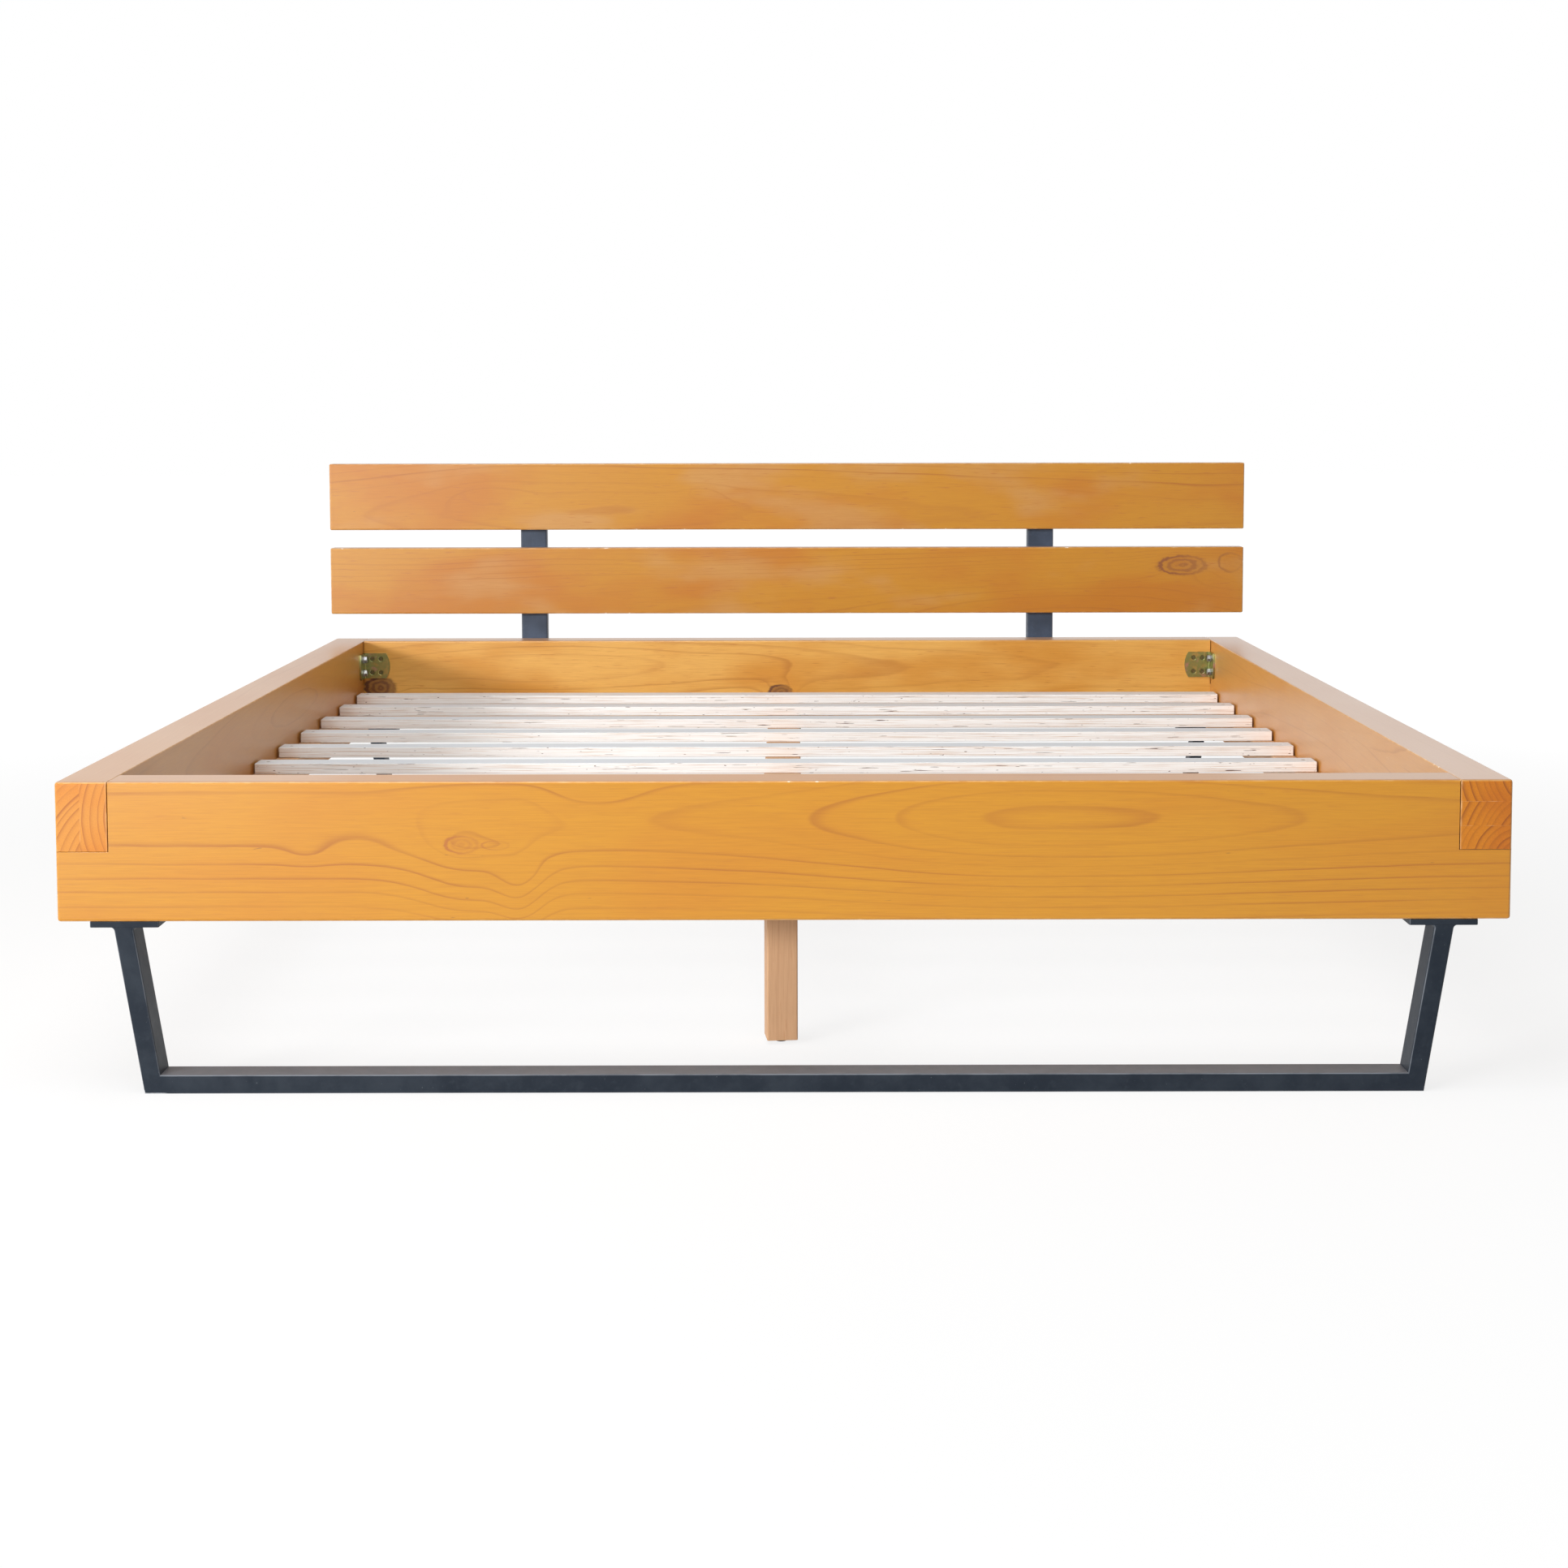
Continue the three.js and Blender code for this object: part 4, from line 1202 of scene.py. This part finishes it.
def painted(name, colour, second_colour, roughness, gloss=0.5, top_sheen=0.0, worn_corner=0.0):
    """Sprayed and baked paint, with the fine ripple of an orange's peel, eased edges rubbed greyer under a
    painted highlight, and where asked a painted sheen on faces that look up.
    """
    finish = Finish(name)
    at = [finish.place[axis] for axis in "XYZ"]
    x, _, z = at
    peel = finish.noise(at, 900.0, 2.0)
    tone = finish.noise(at, 14.0, 5.0, 0.6)
    blotch = finish.noise(at, 55.0, 4.0, 0.65)
    dust = finish.noise(at, 420.0, 1.0)
    shade = finish.blend(tone.ramp(0.35, 0.7), colour, second_colour)
    shade = finish.blend(blotch.ramp(0.50, 0.72, 0.0, 0.65), shade, second_colour)
    shade = finish.blend(dust.ramp(0.76, 0.80, 0.0, 0.25), shade, DUST)
    upward = finish.facing["Z"]
    # faces that look up get a painted sheen
    if top_sheen:
        sheen_on_top = upward.ramp(0.6, 0.95, 0.0, top_sheen) * blotch.ramp(0.3, 0.7, 0.80, 1.0)
        shade = finish.blend(sheen_on_top, shade, STEEL_TOP_SHEEN)

    # rounded edges rub through to a greyer coat with a painted highlight, brightest where they face up, and
    # one low corner to the steel
    fore = finish.facing["Y"] * finish.facing["Y"]
    turned = (fore * (1.0 - fore)).ramp(0.11, 0.24)
    from_above = upward.ramp(-0.2, 0.5, 0.45, 1.0)
    rub_and_highlight = turned * from_above * tone.ramp(0.36, 0.60, 0.45, 1.0)
    shade = finish.blend(rub_and_highlight, shade, RUBBED_PAINT_AND_HIGHLIGHT)
    if worn_corner:
        low_down = z.ramp(2 * MM, 6 * MM, 1.0, 0.0)
        at_end = x.ramp(WORN_CORNER_X, WORN_CORNER_X + 6 * MM, 1.0, 0.0)
        bare = turned * (low_down * blotch.ramp(0.34, 0.50, 0.0, worn_corner)) * at_end
        shade = finish.blend(bare, shade, BARE_STEEL)
    return finish.finished(
        height=peel + blotch * 0.8, depth=0.05 * MM, strength=0.5, colour=shade, gloss=gloss,
        roughness=(tone - 0.5) * 0.18 + roughness + (blotch - 0.5) * 0.15,
    )


def plated(name, first, second, third, roughness, tint_scale):
    """Plated steel with a drifting tint and light rolling marks."""
    finish = Finish(name)
    x, y, z = (finish.place[axis] for axis in "XYZ")
    drift = finish.noise((x, y, z), tint_scale, 3.0, 0.6)
    rolled = finish.grain((x, y, z), (240, 240, 1500))
    shade = finish.blend(drift.ramp(0.30, 0.50), first, second)
    shade = finish.blend(drift.ramp(0.52, 0.72), shade, third)
    return finish.finished(
        height=rolled + drift, depth=0.04 * MM, strength=0.4, colour=shade, metal=1.0,
        roughness=(rolled - 0.5) * 0.20 + roughness,
    )


SKID_PAINT = painted(
    "anthracite_paint",
    (0.014, 0.020, 0.030),
    (0.026, 0.034, 0.046),
    roughness=0.45, gloss=0.13, top_sheen=0.95, worn_corner=0.9,
)
POST_PAINT = painted("post_paint", (0.045, 0.066, 0.105), (0.068, 0.098, 0.156), 0.42, 0.34)
BLACK_SCREW = painted("black_screw", (0.012, 0.012, 0.013), (0.02, 0.02, 0.022), 0.35)
DARK_SCREW = painted("dark_screw", (0.04, 0.035, 0.03), (0.08, 0.07, 0.06), 0.40)
BLACK_PLASTIC = painted("black_plastic", (0.010, 0.010, 0.011), (0.016, 0.016, 0.017), 0.50)
YELLOW_ZINC = plated("yellow_zinc", (0.46, 0.36, 0.13), (0.30, 0.33, 0.13), (0.52, 0.31, 0.24), 0.32, 55.0)
FITTING_SCREW = plated("yellow_screw", (0.26, 0.20, 0.08), (0.17, 0.17, 0.08), (0.30, 0.18, 0.12), 0.34, 90.0)
BRIGHT_ZINC = plated("bright_zinc", (0.42, 0.43, 0.46), (0.34, 0.35, 0.38), (0.46, 0.46, 0.45), 0.45, 40.0)


# ---------------------------------------------------------------- putting the bed together

# Every screw is made with its head facing up. These turn the head to the back, the left and the right.
FACING_BACK = Matrix.Rotation(-math.pi / 2, 4, "X")
FACING_LEFT = Matrix.Rotation(-math.pi / 2, 4, "Y")
FACING_RIGHT = Matrix.Rotation(math.pi / 2, 4, "Y")
DRIVEN_ALONG_X = {1: FACING_LEFT, -1: FACING_RIGHT}

SLATS = 10
SLAT_SCREW_INSET = 18 * MM
LEDGER_SCREWS = 7
LEDGER_SCREW_INSET = 70 * MM
BOARD_SCREW_REACH = 36 * MM


def set_at(x, y, z, turn=Matrix.Identity(4)):
    return Matrix.Translation((x, y, z)) @ turn


def set_screws(pattern, name, material, places):
    """Copies a screw to each place, and throws the pattern away."""
    for number, place in enumerate(places, 1):
        dress(copy_to(pattern, f"{name}_{number:02d}", place), material)
    bpy.data.objects.remove(pattern)


def build_rails():
    for end in ENDS:
        dress(end_rail(end), RAIL_WOOD[end], nodes=[f"{end}_rail"])
    for side in SIDES:
        dress(side_rail(side), RAIL_WOOD[side], nodes=[f"{side}_side_rail"])


def build_headboard():
    board_heights = []
    for board in ("lower", "upper"):
        node = f"{board}_headboard_board"
        piece = plank(f"{board}_headboard_wood", *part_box(node), BOARD_ARRIS)
        dress(piece, BOARD_WOOD[board], nodes=[node])
        board_heights += [centre_of(node).z + step for step in (-BOARD_SCREW_REACH, BOARD_SCREW_REACH)]
    rail_low, rail_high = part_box("head_rail")
    rail_heights = [rail_low.z + 55 * MM, rail_high.z - 45 * MM]
    board_places, rail_places = [], []
    for side in SIDES:
        node = f"{side}_headboard_post"
        low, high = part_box(node)
        x = centre_of(node).x
        piece = headboard_post(side)
        for heights, places, hole in (
            (board_heights, board_places, 6.4 * MM),
            (rail_heights, rail_places, 8.4 * MM),
        ):
            for z in heights:
                bore(piece, (x, low.y - MM, z), (x, high.y + MM, z), hole)
                places.append(set_at(x, high.y, z, FACING_BACK))
        ease(piece, 0.3 * MM, segments=2)
        dress(piece, POST_PAINT, nodes=[node])
    screw = button_screw(head=11 * MM, rise=3 * MM, shank=6 * MM, length=56 * MM)
    set_screws(screw, "headboard_board_screw", BLACK_SCREW, board_places)
    screw = button_screw(head=14 * MM, rise=3.8 * MM, shank=8 * MM, length=80 * MM)
    set_screws(screw, "headboard_rail_screw", BLACK_SCREW, rail_places)


def build_slats():
    low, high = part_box("slat_01")
    pattern = plank("slat", low, high, SLAT_ARRIS, 0.5 * MM)
    screw_x = high.x - SLAT_SCREW_INSET
    first_y = (low.y + high.y) / 2
    for x in (-screw_x, screw_x):
        countersink(pattern, (x, first_y, high.z), (0, 0, -1), 12 * MM, WOOD_SCREW_HOLE)
    screw_places = []
    for number in range(1, SLATS + 1):
        node = f"slat_{number:02d}"
        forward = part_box(node)[0].y - low.y
        piece = copy_to(pattern, f"{node}_wood", set_at(0, forward, 0))
        dress(piece, slat_veneer(number), nodes=[node])
        for x in (-screw_x, screw_x):
            screw_places.append(set_at(x, first_y + forward, high.z - 0.5 * MM))
    bpy.data.objects.remove(pattern)
    screw = countersunk_screw(head=8 * MM, shank=4 * MM, length=40 * MM)
    set_screws(screw, "slat_screw", DARK_SCREW, screw_places)


def build_ledgers():
    screw_places = []
    for side, out in SIDES.items():
        node = f"{side}_slat_ledger"
        low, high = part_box(node)
        piece = plank(f"{side}_ledger_wood", low, high, LEDGER_ARRIS, BEARER_END_ARRIS)
        face_x = low.x if out > 0 else high.x
        z = centre_of(node).z
        length = high.y - low.y - 2 * LEDGER_SCREW_INSET
        for step in range(LEDGER_SCREWS):
            y = low.y + LEDGER_SCREW_INSET + step * length / (LEDGER_SCREWS - 1)
            countersink(piece, (face_x, y, z), (out, 0, 0), 10 * MM, WOOD_SCREW_HOLE)
            screw_places.append(set_at(face_x + out * 0.3 * MM, y, z, DRIVEN_ALONG_X[out]))
        dress(piece, CARRIER_WOOD[side], nodes=[node])
    screw = countersunk_screw(head=8 * MM, shank=4 * MM, length=60 * MM)
    set_screws(screw, "ledger_screw", YELLOW_ZINC, screw_places)


def build_centre_beam():
    low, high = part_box("centre_beam")
    piece = plank("centre_beam_wood", low, high, BEAM_ARRIS, BEARER_END_ARRIS)
    shoe_places = []
    for end, inward in ENDS.items():
        rod = f"{end}_centre_leg_rod"
        x, y, _ = centre_of(rod)
        bore(piece, (x, y, low.z - MM), (x, y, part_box(rod)[1].z + 12 * MM), ROD_BORE, 32)
        shoe_low, shoe_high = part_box(f"{end}_beam_shoe")
        shoe = beam_shoe(end)
        mouth_y = shoe_high.y if inward > 0 else shoe_low.y
        y = mouth_y - inward * 14 * MM
        for z in (shoe_low.z + 17 * MM, shoe_high.z - 12 * MM):
            for face_x, into in ((shoe_low.x, 1), (shoe_high.x, -1)):
                countersink(shoe, (face_x, y, z), (into, 0, 0), 5 * MM, SHOE_SCREW_HOLE)
                shoe_places.append(set_at(face_x + into * 0.1 * MM, y, z, DRIVEN_ALONG_X[into]))
        dress(shoe, YELLOW_ZINC, nodes=[f"{end}_beam_shoe"])
    dress(piece, CARRIER_WOOD["beam"], nodes=["centre_beam"])
    screw = countersunk_screw(head=8 * MM, shank=4 * MM, length=25 * MM)
    set_screws(screw, "shoe_screw", YELLOW_ZINC, shoe_places)


def build_centre_legs():
    for end in ENDS:
        node = f"{end}_centre_leg"
        leg, rod, glide = centre_leg(end), leg_rod(end), leg_glide(end)
        dress(leg, LEG_WOOD[end], f"{end}_leg", [node])
        dress(rod, BRIGHT_ZINC, f"{end}_leg", [f"{node}_rod"])
        dress(glide, BLACK_PLASTIC, f"{end}_glide", [f"{node}_glide"])


def build_skids():
    screw = coach_screw(BOLT_SHANK, COACH_SCREW_LENGTH, HEX_ACROSS, HEX_HEIGHT)
    for end in ENDS:
        frame_nodes = [f"{end}_skid_floor_bar"] + [f"{end}_skid_{side}_post" for side in SIDES]
        dress(skid_frame(end), SKID_PAINT, nodes=frame_nodes)
        for side in SIDES:
            dress(skid_plate(end, side), SKID_PAINT, nodes=[f"{end}_skid_{side}_plate"])
            for place in PLACES:
                node = f"{end}_skid_{side}_{place}_screw"
                x, y, _ = centre_of(node)
                seat = set_at(x, y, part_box(node)[0].z + HEX_HEIGHT)
                piece = copy_to(screw, f"{end}_{side}_{place}_coach_screw", seat)
                dress(piece, BRIGHT_ZINC, nodes=[node])
    bpy.data.objects.remove(screw)


def build_fittings():
    fitting = corner_fitting()
    screw = countersunk_screw(head=8.8 * MM, shank=4.6 * MM, length=32 * MM)
    bolt = flange_bolt(BOLT_FLANGE, BOLT_SHANK, BOLT_LENGTH, HEX_ACROSS, HEX_HEIGHT)
    screw_spots = [
        (x - SEAT_GAP, SHEET_STEEL - 0.5 * MM, row * FITTING_HOLE_SPACING / 2)
        for x in (FITTING_HOLE_NEAR, FITTING_HOLE_FAR)
        for row in (-1, 1)
    ]
    for end, inward in ENDS.items():
        for side, out in SIDES.items():
            at = f"{end}_{side}"
            node = f"{at}_corner_fitting"
            low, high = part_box(node)
            corner = (high.x if out > 0 else low.x, low.y if inward > 0 else high.y, centre_of(node).z)
            place = set_at(*corner, Matrix.Diagonal((-out, inward, 1, 1)))
            piece = copy_to(fitting, f"{at}_fitting_steel", place)
            dress(piece, YELLOW_ZINC, nodes=[node])
            for number, spot in enumerate(screw_spots):
                turn = Matrix.Rotation(math.radians(20 + 37 * number), 4, "Z")
                screw_place = place @ set_at(*spot, FACING_BACK) @ turn
                piece = copy_to(screw, f"{at}_fitting_screw_{number + 1}", screw_place)
                dress(piece, FITTING_SCREW)
            for row in ("upper", "lower"):
                node = f"{at}_{row}_bolt"
                low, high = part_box(node)
                _, y, z = centre_of(node)
                seat_x = high.x - BOLT_LENGTH if out > 0 else low.x + BOLT_LENGTH
                bolt_place = set_at(seat_x, y, z, DRIVEN_ALONG_X[out])
                piece = copy_to(bolt, f"{at}_{row}_flange_bolt", bolt_place)
                dress(piece, BRIGHT_ZINC, nodes=[node])
    for pattern in (fitting, screw, bolt):
        bpy.data.objects.remove(pattern)


build_rails()
build_headboard()
build_slats()
build_ledgers()
build_centre_beam()
build_centre_legs()
build_skids()
build_fittings()


# ---------------------------------------------------------------- studio

ROOM_LIGHT = 0.23
FLOOR_SIZE = 60
FLOOR_GREY = (0.9, 0.9, 0.9)
FLOOR_GLOW = 1.03
FLOOR_GLOW_SHARE = 0.80
SHADOW_REACH = (1.4, 3.6)

# Each softbox: where it stands, what it aims at, how wide and high it is, and its watts.
SOFTBOXES = {
    "key_softbox": ((-6.2, -7.3, 2.05), (-0.2, -0.5, 0.4), (3.0, 1.0), 605),
    "low_softbox": ((-2.3, -5.2, 0.6), (-0.6, 0.0, 0.5), (1.6, 1.0), 36),
    "top_softbox": ((-0.9, -1.5, 3.2), (0.1, 0.4, 0.3), (2.4, 2.0), 70),
}

CAMERA_PLACE = (0.01273, -4.53113, 0.92871)
CAMERA_TURN = math.radians(-0.0928)
CAMERA_TILT = math.radians(4.5597)
CAMERA_ROLL = math.radians(0.0942)
CAMERA_SENSOR = 36
CAMERA_LENS = 59.295
CAMERA_SHIFT = (-0.00847, -0.10972)


def seen_itself(nodes):
    """1 where a surface is looked at, straight or in a mirror, and 0 where it lights something."""
    path = nodes.node("LightPath")
    either = nodes.maths("MAXIMUM", path["Is Camera Ray"], path["Is Glossy Ray"])
    return nodes.maths("MAXIMUM", either, path["Is Transmission Ray"])


def paint_room():
    """A white room that looks brighter than it lights."""
    world = bpy.data.worlds.new("white_room")
    world.use_nodes = True
    bpy.context.scene.world = world
    room = Nodes(world.node_tree)
    background = room.tree.nodes["Background"]
    room.feed(background.inputs["Color"], (1, 1, 1))
    strength = room.slope(seen_itself(room), 0.0, 1.0, ROOM_LIGHT, 1.0)
    room.feed(background.inputs["Strength"], strength)


def lay_floor():
    """A pale floor that glows to white where it is seen, and keeps some shadow round the bed."""
    put_down()
    bpy.ops.mesh.primitive_plane_add(size=FLOOR_SIZE, location=(0, 0, 0))
    floor = fix_place(fresh("floor"))
    paint = bpy.data.materials.new("pale_floor")
    paint.use_nodes = True
    nodes = Nodes(paint.node_tree)
    shader = nodes.tree.nodes["Principled BSDF"]
    for socket, value in (("Base Color", FLOOR_GREY), ("Roughness", 1.0), ("Specular IOR Level", 0.0)):
        nodes.feed(shader.inputs[socket], value)
    glow = nodes.node("Emission", {"Color": (1, 1, 1), "Strength": FLOOR_GLOW})["Emission"]
    away = nodes.node("VectorMath", {0: nodes.node("TexCoord")["Object"]}, operation="LENGTH")["Value"]
    fade = nodes.slope(away, *SHADOW_REACH, FLOOR_GLOW_SHARE, 1.0)
    share = seen_itself(nodes) * fade
    mix = nodes.node("MixShader", {"Fac": share, 1: shader.outputs["BSDF"], 2: glow})["Shader"]
    nodes.feed(nodes.tree.nodes["Material Output"].inputs["Surface"], mix)
    floor.data.materials.append(paint)


def hang_softbox(name, at, aim, size, watts):
    lamp = bpy.data.lights.new(name, "AREA")
    lamp.shape = "RECTANGLE"
    lamp.size, lamp.size_y = size
    lamp.energy = watts
    holder = bpy.data.objects.new(name, lamp)
    bpy.context.scene.collection.objects.link(holder)
    holder.location = at
    holder.rotation_euler = (Vector(aim) - Vector(at)).to_track_quat("-Z", "Y").to_euler()


def set_up_camera():
    camera = bpy.data.cameras.new("camera")
    camera.sensor_width = CAMERA_SENSOR
    camera.lens = CAMERA_LENS
    camera.shift_x, camera.shift_y = CAMERA_SHIFT
    holder = bpy.data.objects.new("camera", camera)
    bpy.context.scene.collection.objects.link(holder)
    holder.matrix_world = (
        Matrix.Translation(CAMERA_PLACE)
        @ Matrix.Rotation(CAMERA_TURN, 4, "Z")
        @ Matrix.Rotation(math.pi / 2 - CAMERA_TILT, 4, "X")
        @ Matrix.Rotation(-CAMERA_ROLL, 4, "Z")
    )
    bpy.context.scene.camera = holder


bpy.context.scene.view_settings.view_transform = "Standard"
paint_room()
lay_floor()
for name, setting in SOFTBOXES.items():
    hang_softbox(name, *setting)
set_up_camera()
